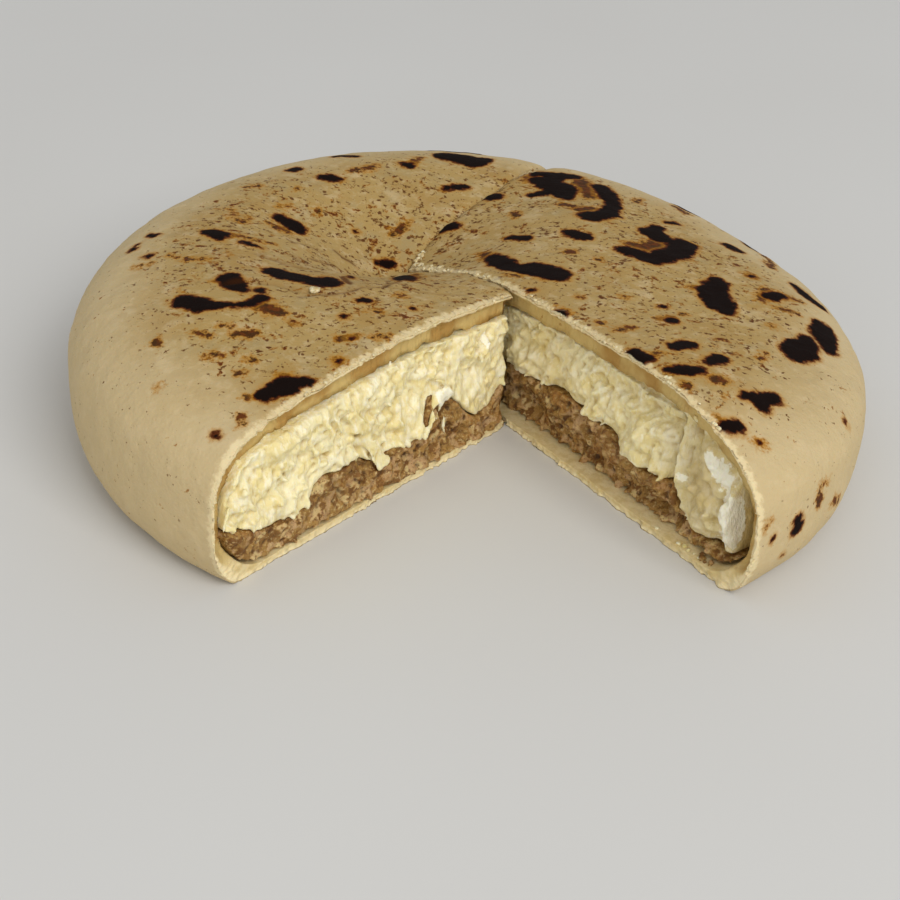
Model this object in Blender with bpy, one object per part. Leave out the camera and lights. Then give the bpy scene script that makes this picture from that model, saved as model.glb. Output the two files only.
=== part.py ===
"""A round stuffed flatbread, cut, with one quarter taken out.

Two cut pieces lie as the round they were: a large one, left and back, and a quarter on the
right. Each is a thin shell of dough around two layers of filling, curd cheese over mince, which
show at the cuts. The origin is under the middle of the round, on the face that it rests on.
"""

from math import atan2, cos, exp, hypot, radians, sin, sqrt

import bmesh
import bpy
from mathutils import Vector

MM = 0.001

# The round as baked.
RADIUS = 76 * MM
NARROWER = 0.014              # how uneven the outline is, as shares of the radius
SKEWED = 0.008
THREE_SIDED = 0.019
THICKNESS = 31.4 * MM
WIDEST_Z = 10.9 * MM          # height at which the side bulges furthest
LEAN_X = 0.049                # fall of the top crust for each metre towards +X, and towards +Y
LEAN_Y = 0.033
ROUNDNESS = 3.6               # exponent of the upper profile, 2 is an ellipse
HEEL = 0.92                   # the underside is flat out to this share of the radius

# Where the dough was gathered: a dip in the top, and a crease running out of it.
DIP_CENTRE = Vector((-16, 20)) * MM
DIP_DEPTH = 10.5 * MM
DIP_REACH = 15 * MM
CREASE_END = Vector((-40, -8)) * MM
CREASE_DEPTH = 2.6 * MM
CREASE_REACH = 5 * MM
KNOT = 4 * MM                 # extra dough under the dip
KNOT_REACH = 12 * MM

# Low, wide swellings and hollows of the top crust: place in plan, height and reach.
SWELLINGS = [
    (Vector((-26, -44)) * MM, -1.5 * MM, 14 * MM),
    (Vector((40, -40)) * MM, 2.6 * MM, 14 * MM),
    (Vector((2, -10)) * MM, -0.8 * MM, 8 * MM),
    (Vector((50, 38)) * MM, -1.2 * MM, 16 * MM),
    (Vector((3, 47)) * MM, -3.2 * MM, 11 * MM),
]

# Dough and filling.
ROOF = 4.0 * MM
FLOOR = 1.5 * MM
WALL = 3.0 * MM
INNER_HEEL = 0.88
AIR_GAP = 0.8 * MM            # between the curd and the dough over it, closing under the dip
AIR_CLOSES = 0.8
SEAM_Z = 10.5 * MM            # where curd meets mince
SEAM_WAVE = 0.9 * MM
SEAM_RISE = 3.5 * MM          # the mince stands higher against the rim
CLEARANCE = 0.3 * MM          # kept between any two pieces

# Where the curd sinks into the mince, or the mince swells into it: place, height and reach.
SEAM_BUMPS = [
    (Vector((-30, -51)) * MM, -5.5 * MM, 9 * MM),
    (Vector((-11, -29)) * MM, -2.5 * MM, 4 * MM),
    (Vector((-3, -19)) * MM, 3.5 * MM, 6 * MM),
    (Vector((5, -9)) * MM, -3.0 * MM, 4 * MM),
    (Vector((20, -20)) * MM, 2.5 * MM, 10 * MM),
]

# The knife cuts, in plan: the corner of the missing quarter, and the tip of the piece behind it.
FRONT_CORNER = Vector((7.9, -6.0)) * MM
BACK_CORNER = Vector((-13.2, 22.2)) * MM
LEFT_CUT = radians(230.2)
RIGHT_CUT = radians(-53.3)
BACK_CUT = radians(58.5)
KERF = 0.8 * MM
RECESS_LARGE = 0.6 * MM       # how far the filling stands back from the cuts
RECESS_QUARTER = 2.2 * MM

# A lump of curd that broke off at the rim end of the quarter's long cut.
LUMP_START = 44.5 * MM        # along the cut, from the corner of the missing quarter
LUMP_DEPTH = 24 * MM
LUMP_BASE_Z = 4.2 * MM
LUMP_STEP = 2.5 * MM          # width of the step in the mince at its edge
LUMP_SPACE = 1.2 * MM         # between it and the rest of the curd

SEGMENTS = 56
RINGS = 22
SEAM_CELLS = 30
REACH = 250 * MM              # size of the cutters in plan, well past the bread
CUTTER_BOTTOM = -20 * MM
CUTTER_TOP = 60 * MM

COLOURS = {
    "dough": ((0.72, 0.60, 0.40, 1), 0.8),
    "curd": ((0.84, 0.78, 0.52, 1), 0.5),
    "mince": ((0.34, 0.22, 0.13, 1), 0.6),
}


def outline(angle):
    """Radius of the round at an angle, a little uneven as a hand-rolled bread is."""
    oval = NARROWER * cos(2 * angle) + SKEWED * sin(2 * angle)
    return RADIUS * (1 - oval - THREE_SIDED * sin(3 * angle))


def distance_to_crease(point):
    """Distance in plan from a point to the crease, a straight fold, and how far along it that is."""
    along = CREASE_END - DIP_CENTRE
    share = max(0.0, min(1.0, (point - DIP_CENTRE).dot(along) / along.length_squared))
    return (point - DIP_CENTRE - along * share).length, share


def bump(x, y, centre, reach):
    """A smooth bump of height 1 around a place in plan."""
    return exp(-0.5 * ((Vector((x, y)) - centre).length / reach) ** 2)


def dip(x, y):
    """Depth of the gathered centre, its crease and the hollows below the domed top."""
    across, share = distance_to_crease(Vector((x, y)))
    crease = CREASE_DEPTH * (1 - share) * exp(-((across / CREASE_REACH) ** 2))
    swelling = sum(height * bump(x, y, centre, reach) for centre, height, reach in SWELLINGS)
    return DIP_DEPTH * bump(x, y, DIP_CENTRE, DIP_REACH) + crease - swelling


def knot(x, y):
    """Extra dough under the dip, where the edges were pinched together."""
    return KNOT * bump(x, y, DIP_CENTRE, KNOT_REACH)


def upper_profile(share, crown):
    """Height of a domed top at a share of the radius, before the dip."""
    return WIDEST_Z + (crown - WIDEST_Z) * (1 - share ** ROUNDNESS) ** (1 / ROUNDNESS)


def lower_profile(share, floor, heel):
    """Height of a flat underside that turns up in a quarter ellipse outside the heel."""
    turn = max(0.0, (share - heel) / (1 - heel))
    return floor + (WIDEST_Z - floor) * (1 - sqrt(max(0.0, 1 - turn * turn)))


def pillow(name, inset=0.0, roof=0.0, floor=0.0, heel=HEEL, knotted=False, gap=0.0):
    """A closed pillow nested in the round: a ball whose points are moved to its top and underside."""
    bm = bmesh.new()
    bmesh.ops.create_uvsphere(bm, u_segments=SEGMENTS, v_segments=RINGS, radius=1)
    for vertex in bm.verts:
        share = min(1.0, hypot(vertex.co.x, vertex.co.y))
        angle = atan2(vertex.co.y, vertex.co.x)
        radius = (outline(angle) - inset) * share
        x, y = radius * cos(angle), radius * sin(angle)
        if vertex.co.z > 1e-6:
            crown = THICKNESS - LEAN_X * x - LEAN_Y * y - roof
            thicker = knot(x, y) if knotted else 0.0
            air = gap * (1 - AIR_CLOSES * bump(x, y, DIP_CENTRE, DIP_REACH))
            z = upper_profile(share, crown - air) - dip(x, y) - thicker
        else:
            z = lower_profile(share, floor, heel)
        vertex.co = (x, y, z)
    return finish_mesh(bm, name)


def seam_height(x, y):
    """Height of the boundary between the two layers, lower under the loose lump of curd."""
    wave = SEAM_WAVE * (sin(x / (11 * MM) + 0.8) * cos(y / (13 * MM)) + 0.5 * sin((x + y) / (8 * MM)))
    bumps = sum(height * bump(x, y, centre, reach) for centre, height, reach in SEAM_BUMPS)
    rise = SEAM_RISE * min(1.0, hypot(x, y) / RADIUS) ** 10
    lump = lump_share(x, y)
    return (SEAM_Z + wave + bumps + rise) * (1 - lump) + LUMP_BASE_Z * lump


def lump_share(x, y):
    """1 well inside the lump's patch, 0 outside, with a soft step between."""
    along, across = cut_coordinates(x, y)
    inside = min(along - LUMP_START, LUMP_DEPTH - across) / LUMP_STEP
    return max(0.0, min(1.0, inside))


def cut_coordinates(x, y):
    """Distance along the right-hand cut from its inner corner, and back from it into the bread."""
    direction = Vector((cos(RIGHT_CUT), sin(RIGHT_CUT)))
    offset = Vector((x, y)) - FRONT_CORNER
    return offset.dot(direction), offset.dot(Vector((-direction.y, direction.x)))


def below_seam(name, shift):
    """A closed block whose top is the wavy boundary between curd and mince, moved up by shift."""
    bm = bmesh.new()
    bmesh.ops.create_grid(bm, x_segments=SEAM_CELLS, y_segments=SEAM_CELLS, size=1.15 * RADIUS)
    for vertex in bm.verts:
        vertex.co.z = seam_height(vertex.co.x, vertex.co.y) + shift
    skirt = bmesh.ops.extrude_face_region(bm, geom=list(bm.faces))["geom"]
    for item in skirt:
        if isinstance(item, bmesh.types.BMVert):
            item.co.z = CUTTER_BOTTOM
    bmesh.ops.recalc_face_normals(bm, faces=bm.faces)
    return finish_mesh(bm, name)


def meet(point_a, angle_a, point_b, angle_b):
    """Where two lines in plan cross."""
    step_a = Vector((cos(angle_a), sin(angle_a)))
    step_b = Vector((cos(angle_b), sin(angle_b)))
    across = Vector((-step_b.y, step_b.x))
    return point_a + step_a * ((point_b - point_a).dot(across) / step_a.dot(across))


def shifted(point, angle, distance):
    """A point moved to the left of a line's direction."""
    return point + Vector((-sin(angle), cos(angle))) * distance


def ahead(point, angle):
    """A point far out along a direction."""
    return point + Vector((cos(angle), sin(angle))) * REACH


def large_region(recess=0.0):
    """Plan of the large piece: left of the left cut, round the back, to the back cut."""
    left = shifted(FRONT_CORNER, LEFT_CUT, -recess)
    right = shifted(FRONT_CORNER, RIGHT_CUT, -recess)
    back = shifted(BACK_CORNER, BACK_CUT, recess)
    front_corner = meet(left, LEFT_CUT, right, RIGHT_CUT)
    back_corner = meet(right, RIGHT_CUT, back, BACK_CUT)
    far_left = ahead(front_corner, LEFT_CUT)
    far_back = ahead(back_corner, BACK_CUT)
    corners = [Vector((-REACH, far_back.y)), Vector((-REACH, far_left.y))]
    return [front_corner, back_corner, far_back, *corners, far_left]


def quarter_region(recess=0.0):
    """Plan of the quarter: right of the back cut and behind the right cut, less the knife's kerf."""
    right = shifted(FRONT_CORNER, RIGHT_CUT, KERF + recess)
    back = shifted(BACK_CORNER, BACK_CUT, -KERF - min(recess, RECESS_LARGE))
    corner = meet(right, RIGHT_CUT, back, BACK_CUT)
    return [corner, ahead(corner, RIGHT_CUT), ahead(corner, BACK_CUT)]


def lump_region(grow=0.0):
    """Plan of the loose lump: a strip behind the right cut, from LUMP_START out to the rim."""
    along = Vector((cos(RIGHT_CUT), sin(RIGHT_CUT)))
    back = Vector((-along.y, along.x)) * (LUMP_DEPTH + grow)
    start = FRONT_CORNER + along * (LUMP_START - grow)
    end = start + along * REACH
    return [start - back, end - back, end + back, start + back]


def prism(name, corners):
    """A tall closed prism over a plan."""
    bm = bmesh.new()
    face = bm.faces.new([bm.verts.new((corner.x, corner.y, CUTTER_BOTTOM)) for corner in corners])
    top = bmesh.ops.extrude_face_region(bm, geom=[face])["geom"]
    for item in top:
        if isinstance(item, bmesh.types.BMVert):
            item.co.z = CUTTER_TOP
    bmesh.ops.recalc_face_normals(bm, faces=bm.faces)
    return finish_mesh(bm, name)


def finish_mesh(bm, name):
    """Turn a bmesh into a named mesh of triangles, so that nested surfaces keep the same facets."""
    bmesh.ops.triangulate(bm, faces=bm.faces, quad_method="FIXED")
    mesh = bpy.data.meshes.new(name)
    bm.to_mesh(mesh)
    bm.free()
    return mesh


def material(kind):
    """The plain material of one kind of food."""
    colour, roughness = COLOURS[kind]
    result = bpy.data.materials.new(kind)
    result.use_nodes = True
    shader = result.node_tree.nodes["Principled BSDF"]
    shader.inputs["Base Color"].default_value = colour
    shader.inputs["Roughness"].default_value = roughness
    shader.inputs["Metallic"].default_value = 0
    result.diffuse_color = colour
    return result


def add_object(name, mesh):
    """Put a mesh in the scene under a name."""
    result = bpy.data.objects.new(name, mesh)
    bpy.context.scene.collection.objects.link(result)
    return result


def cutter(name, mesh):
    """An object that only cuts."""
    result = add_object(name, mesh)
    result.hide_render = True
    result.display_type = "WIRE"
    return result


def cut(target, tool, operation):
    """Add a Boolean with a cutter to an object."""
    boolean = target.modifiers.new(f"{operation.lower()} {tool.name}", "BOOLEAN")
    boolean.operation = operation
    boolean.solver = "EXACT"
    boolean.object = tool


def piece(name, mesh, kind, steps):
    """A piece of food: a mesh, its material, and the cuts that shape it, in order."""
    result = add_object(name, mesh.copy())
    result.data.materials.append(material(kind))
    for tool, operation in steps:
        cut(result, tool, operation)
    return result


def main():
    """Build the seven pieces."""
    for old in list(bpy.data.objects):
        bpy.data.objects.remove(old, do_unlink=True)

    loaf = pillow("loaf")
    filling = pillow("filling", inset=WALL + CLEARANCE, roof=ROOF + CLEARANCE, floor=FLOOR + CLEARANCE,
                     heel=INNER_HEEL, knotted=True, gap=AIR_GAP)
    pocket = cutter("cut_pocket", pillow("pocket", inset=WALL, roof=ROOF, floor=FLOOR,
                                         heel=INNER_HEEL, knotted=True))
    curd_bed = cutter("cut_curd_bed", below_seam("curd_bed", CLEARANCE / 2))
    mince_top = cutter("cut_mince_top", below_seam("mince_top", -CLEARANCE / 2))
    lump = cutter("cut_lump", prism("lump", lump_region()))
    lump_space = cutter("cut_lump_space", prism("lump_space", lump_region(grow=LUMP_SPACE)))

    regions = {
        "large": (large_region(), large_region(RECESS_LARGE)),
        "quarter": (quarter_region(), quarter_region(RECESS_QUARTER)),
    }
    for label, (whole_plan, filling_plan) in regions.items():
        shell_region = cutter(f"cut_{label}", prism(f"{label}_region", whole_plan))
        filling_region = cutter(f"cut_{label}_filling", prism(f"{label}_filling_region", filling_plan))
        piece(f"dough_{label}", loaf, "dough", [(shell_region, "INTERSECT"), (pocket, "DIFFERENCE")])
        piece(f"mince_{label}", filling, "mince",
              [(filling_region, "INTERSECT"), (mince_top, "INTERSECT")])
        curd_steps = [(filling_region, "INTERSECT"), (curd_bed, "DIFFERENCE")]
        if label == "quarter":
            piece("curd_lump", filling, "curd", curd_steps + [(lump, "INTERSECT")])
            curd_steps = curd_steps + [(lump_space, "DIFFERENCE")]
        piece(f"curd_{label}", filling, "curd", curd_steps)


main()
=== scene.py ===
"""Looks of a round stuffed flatbread, cut, with one quarter taken out.

Every shape here is worked out in design millimetres, the units in which the round is 150 wide,
and is brought to the frame's own size when its mesh is finished.
"""

import logging
from dataclasses import dataclass
from enum import Enum
from math import cos, pi, radians, sin
from typing import Callable, Iterable, Optional, Sequence, Union

import bmesh
import bpy
import numpy as np
from mathutils import Matrix, Vector, noise
from mathutils.bvhtree import BVHTree


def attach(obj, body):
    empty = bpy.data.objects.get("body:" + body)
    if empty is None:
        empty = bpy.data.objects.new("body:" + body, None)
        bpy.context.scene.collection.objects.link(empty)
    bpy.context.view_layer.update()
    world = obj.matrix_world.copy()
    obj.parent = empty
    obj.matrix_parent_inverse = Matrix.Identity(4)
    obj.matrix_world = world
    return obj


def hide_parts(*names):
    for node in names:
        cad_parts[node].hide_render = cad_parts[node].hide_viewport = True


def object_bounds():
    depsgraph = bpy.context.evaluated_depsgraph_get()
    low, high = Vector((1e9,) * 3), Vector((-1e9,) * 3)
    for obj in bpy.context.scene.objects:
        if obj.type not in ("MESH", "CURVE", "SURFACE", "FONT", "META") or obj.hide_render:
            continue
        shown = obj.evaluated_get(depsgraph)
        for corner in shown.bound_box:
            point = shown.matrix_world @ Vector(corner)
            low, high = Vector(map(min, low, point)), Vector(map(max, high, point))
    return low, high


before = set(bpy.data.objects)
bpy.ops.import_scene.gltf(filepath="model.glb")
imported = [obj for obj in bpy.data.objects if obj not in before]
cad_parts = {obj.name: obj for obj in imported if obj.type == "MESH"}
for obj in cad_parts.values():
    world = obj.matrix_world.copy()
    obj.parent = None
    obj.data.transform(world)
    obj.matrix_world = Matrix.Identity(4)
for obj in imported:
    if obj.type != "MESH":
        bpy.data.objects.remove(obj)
CAD_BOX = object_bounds()

LOG = logging.getLogger("flatbread")
DESIGN_WIDTH = 150.04                                    # width of the round in design millimetres
UNIT = (CAD_BOX[1].x - CAD_BOX[0].x) / DESIGN_WIDTH      # metres in one design millimetre
FAR = 1e3                                                # a distance that is never reached
BODY = "root"

Array = np.ndarray
Socket = bpy.types.NodeSocket
Value = Union[float, Socket]


# ---------------------------------------------------------------------------------------------
# The shape of the round
# ---------------------------------------------------------------------------------------------


@dataclass(frozen=True)
class Bump:
    """A soft round swelling of a surface: place in plan, height and reach."""

    x: float
    y: float
    height: float
    reach: float

    def at(self, x: Array, y: Array) -> Array:
        """Height of the swelling over places in plan."""
        spread = ((x - self.x) ** 2 + (y - self.y) ** 2) / self.reach ** 2
        return self.height * np.exp(-0.5 * spread)


@dataclass(frozen=True)
class Knife:
    """A straight knife cut: a place in plan that it passes, and its direction in degrees."""

    x: float
    y: float
    angle: float

    def ahead(self) -> Array:
        """Unit vector along the cut."""
        return np.array([cos(radians(self.angle)), sin(radians(self.angle)), 0.0])

    def left(self) -> Array:
        """Unit vector to the left of the cut."""
        return np.array([-sin(radians(self.angle)), cos(radians(self.angle)), 0.0])

    def along(self, points: Array) -> Array:
        """Distance of points along the cut."""
        return (points - np.array([self.x, self.y, 0.0])) @ self.ahead()

    def off(self, points: Array) -> Array:
        """Distance of points to the left of the cut."""
        return (points - np.array([self.x, self.y, 0.0])) @ self.left()

    def place(self, along: float, off: float, height: float) -> Array:
        """The point at a distance along and to the left of the cut, at a height."""
        return np.array([self.x, self.y, height]) + along * self.ahead() + off * self.left()


LEFT_CUT = Knife(7.9, -6.0, 230.2)         # left side of the missing quarter
RIGHT_CUT = Knife(7.9, -6.0, -53.3)        # its right side, with the stretch behind it
BACK_CUT = Knife(-13.2, 22.2, 58.5)        # from the tip of the right-hand piece to the back rim
KERF = 0.8


def smooth_step(low: float, high: float, value: Array) -> Array:
    """0 below low, 1 above high, and a soft S between."""
    share = np.clip((value - low) / (high - low), 0.0, 1.0)
    return share * share * (3.0 - 2.0 * share)


def wobble(points: Array, size: float, octaves: int = 1, shift: float = 0.0) -> Array:
    """Smooth noise between about -1 and 1 at points.

    Args:
        points: places in design millimetres, one to a row.
        size: width of the noise's features.
        octaves: how many finer layers are added up.
        shift: moves the pattern, so that two calls differ.

    Returns:
        One number for each point.
    """
    scaled = (points / size + shift).tolist()
    return np.array([noise.fractal(place, 1.0, 2.0, octaves) for place in scaled])


def pebbles(points: Array, size: float, shift: float = 0.0) -> tuple[Array, Array]:
    """A pattern of rounded cells in space.

    Args:
        points: places in design millimetres, one to a row.
        size: width of a cell.
        shift: moves the pattern.

    Returns:
        How high each point lies on its cell's dome, 1 in the middle and 0 at the edge, and a
        random number from 0 to 1 that is the same over a whole cell.
    """
    height = np.zeros(len(points))
    chance = np.zeros(len(points))
    for row, place in enumerate((points / size + shift).tolist()):
        distances, middles = noise.voronoi(place)
        height[row] = distances[0]
        chance[row] = sum(middles[0]) * 7.31 % 1.0
    return 1 - np.clip(height * 1.25, 0, 1) ** 2, chance


def path_distance(points: Array, path: Sequence[tuple[float, float]]) -> tuple[Array, Array]:
    """Distance in plan of points from a path, and the share of the path walked at the nearest.

    The distance is less than 0 on the right-hand side of the path.
    """
    nearest = np.full(len(points), FAR)
    walked = np.zeros(len(points))
    for index, (start, end) in enumerate(zip(path, path[1:])):
        step = np.array(end) - np.array(start)
        way = points[:, :2] - np.array(start)
        share = np.clip(way @ step / (step @ step), 0, 1)
        across = way - share[:, None] * step
        gap = np.hypot(across[:, 0], across[:, 1])
        side = np.where(step[0] * way[:, 1] - step[1] * way[:, 0] >= 0, 1, -1)
        closer = gap < np.abs(nearest)
        nearest = np.where(closer, side * gap, nearest)
        walked = np.where(closer, (index + share) / (len(path) - 1), walked)
    return nearest, walked


@dataclass(frozen=True)
class Round:
    """The round as baked: how its skin and the space inside it are bounded."""

    radius: float = 76.0
    narrower: float = 0.014
    skewed: float = 0.008
    three_sided: float = 0.019
    thickness: float = 31.4
    widest: float = 10.9       # height of the widest line
    lean_x: float = 0.049
    lean_y: float = 0.033
    roundness: float = 3.6
    heel: float = 0.92         # share of the radius to which the underside is flat
    inner_heel: float = 0.88
    roof: float = 4.0          # thickness of the dough above the filling, below it and around it
    floor: float = 1.5
    wall: float = 3.0
    dip: Bump = Bump(-16, 20, 10.5, 15)
    knot: Bump = Bump(-16, 20, 4.0, 12)
    crease_end: tuple[float, float] = (-40, -8)
    crease_depth: float = 2.6
    crease_reach: float = 5.0
    swellings: tuple[Bump, ...] = (
        Bump(-26, -44, -1.5, 14),
        Bump(40, -40, 2.6, 14),
        Bump(2, -10, -0.8, 8),
        Bump(50, 38, -1.2, 16),
        Bump(3, 47, -3.2, 11),
    )
    rim_rise: float = 0.5      # share of the rise below which the swellings and hollows fade out
    profile_steps: int = 1500

    def outline(self, angle: Array) -> Array:
        """Radius of the round at angles, a little uneven."""
        oval = self.narrower * np.cos(2 * angle) + self.skewed * np.sin(2 * angle)
        return self.radius * (1 - oval - self.three_sided * np.sin(3 * angle))

    def hollow(self, x: Array, y: Array) -> Array:
        """Depth of the gathered centre, its crease and the low swellings below the dome."""
        end = np.array(self.crease_end) - np.array([self.dip.x, self.dip.y])
        share = np.clip(((x - self.dip.x) * end[0] + (y - self.dip.y) * end[1]) / (end @ end), 0, 1)
        across = np.hypot(x - self.dip.x - share * end[0], y - self.dip.y - share * end[1])
        crease = self.crease_depth * (1 - share) * np.exp(-((across / self.crease_reach) ** 2))
        return self.dip.at(x, y) + crease - sum(bump.at(x, y) for bump in self.swellings)

    def raised(self, x: Array, y: Array, rise: Array, roof: float = 0.0) -> Array:
        """Height over places in plan, by how far up they lie from the widest line to the crown."""
        crown = self.thickness - self.lean_x * x - self.lean_y * y - roof
        hollow = self.hollow(x, y) * smooth_step(0, self.rim_rise, rise)
        return self.widest + (crown - self.widest) * rise - hollow

    def dome(self, x: Array, y: Array) -> Array:
        """Height of the top over places in plan."""
        share = np.clip(np.hypot(x, y) / self.outline(np.arctan2(y, x)), 0, 1)
        return self.raised(x, y, (1 - share ** self.roundness) ** (1 / self.roundness))

    def _profile(self, upper: bool) -> tuple[Array, Array, Array]:
        """One half of the outline seen from the side, walked evenly by surface area.

        Args:
            upper: the half above the widest line, or the one below it.

        Returns:
            Share of the area covered from the middle out, share of the radius there, and how far
            the surface has risen: 1 on the crown or 0 at the widest line for the upper half, and
            the turn from 0 on the flat to 1 at the widest line for the lower.
        """
        t = np.linspace(0, pi / 2, self.profile_steps)
        if upper:
            share = np.sin(t) ** (2 / self.roundness)
            rise = np.cos(t) ** (2 / self.roundness)
            height = (self.thickness - self.widest) * rise
        else:
            share = np.concatenate([np.linspace(0, self.heel, self.profile_steps),
                                    self.heel + (1 - self.heel) * np.sin(t)])
            rise = np.clip((share - self.heel) / (1 - self.heel), 0, 1)
            height = self.widest * (1 - np.sqrt(np.clip(1 - rise ** 2, 0, 1)))
        steps = np.hypot(np.diff(share) * self.radius, np.diff(height))
        area = np.concatenate([[0], np.cumsum(steps * (share[1:] + share[:-1]))])
        return area / area[-1], share, rise

    def skin(self, ball: Array, inner: bool = False) -> Array:
        """Where points of a unit ball come to lie on the skin of the round.

        Args:
            ball: unit vectors, one to a row.
            inner: the surface of the space inside the dough, not the outer skin.

        Returns:
            Positions in design millimetres.
        """
        angle = np.arctan2(ball[:, 1], ball[:, 0])
        covered = 1 - np.abs(ball[:, 2])
        places = np.zeros_like(ball)
        for upper in (True, False):
            half = (ball[:, 2] >= 0) == upper
            area, shares, rises = self._profile(upper)
            share = np.interp(covered[half], area, shares)
            rise = np.interp(covered[half], area, rises)
            heel = self.inner_heel if inner else self.heel
            if not upper:
                share = np.where(rise > 0, heel + (1 - heel) * rise, share * heel / self.heel)
            reach = self.outline(angle[half]) - (self.wall if inner else 0)
            x = reach * share * np.cos(angle[half])
            y = reach * share * np.sin(angle[half])
            if upper:
                z = self.raised(x, y, rise, self.roof if inner else 0)
                z = z - (self.knot.at(x, y) if inner else 0)
            else:
                floor = self.floor if inner else 0
                z = floor + (self.widest - floor) * (1 - np.sqrt(np.clip(1 - rise ** 2, 0, 1)))
            places[half] = np.stack([x, y, z], axis=1)
        return places


ROUND = Round()


# ---------------------------------------------------------------------------------------------
# Marks of the griddle
# ---------------------------------------------------------------------------------------------


class Heat(Enum):
    """How far a mark has been scorched."""

    BLACK = "char"
    BROWN = "toast"


@dataclass(frozen=True)
class Mark:
    """A scorched patch: a stroke through places, each with its half width.

    The places are (x, y, half width) in plan on the top, or on the side wall (angle in degrees,
    height, half width).
    """

    heat: Heat
    stroke: tuple[tuple[float, float, float], ...]
    on_side: bool = False

    def spine(self) -> tuple[Array, Array]:
        """The stroke's places on the skin, and their half widths."""
        values = np.array(self.stroke, dtype=float)
        if self.on_side:
            angle = np.radians(values[:, 0])
            crown = ROUND.thickness
            rise = np.clip((values[:, 1] - ROUND.widest) / (crown - ROUND.widest), 0, 1)
            reach = ROUND.outline(angle) * (1 - rise ** ROUND.roundness) ** (1 / ROUND.roundness)
            places = np.stack([reach * np.cos(angle), reach * np.sin(angle), values[:, 1]], axis=1)
        else:
            height = ROUND.dome(values[:, 0], values[:, 1])
            places = np.stack([values[:, 0], values[:, 1], height], axis=1)
        return places, values[:, 2]

    def distance(self, points: Array) -> Array:
        """Distance of points from the patch's edge, less than 0 inside it."""
        places, widths = self.spine()
        if len(places) == 1:
            return np.linalg.norm(points - places[0], axis=1) - widths[0]
        nearest = np.full(len(points), FAR)
        for start, end, first, last in zip(places, places[1:], widths, widths[1:]):
            step = end - start
            share = np.clip((points - start) @ step / max(step @ step, 1e-9), 0, 1)
            gap = np.linalg.norm(points - start - share[:, None] * step, axis=1)
            nearest = np.minimum(nearest, gap - first - (last - first) * share)
        return nearest


def black(*stroke: tuple[float, float, float]) -> Mark:
    """A patch burnt black."""
    return Mark(Heat.BLACK, stroke)


def brown(*stroke: tuple[float, float, float]) -> Mark:
    """A patch only browned."""
    return Mark(Heat.BROWN, stroke)


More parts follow.
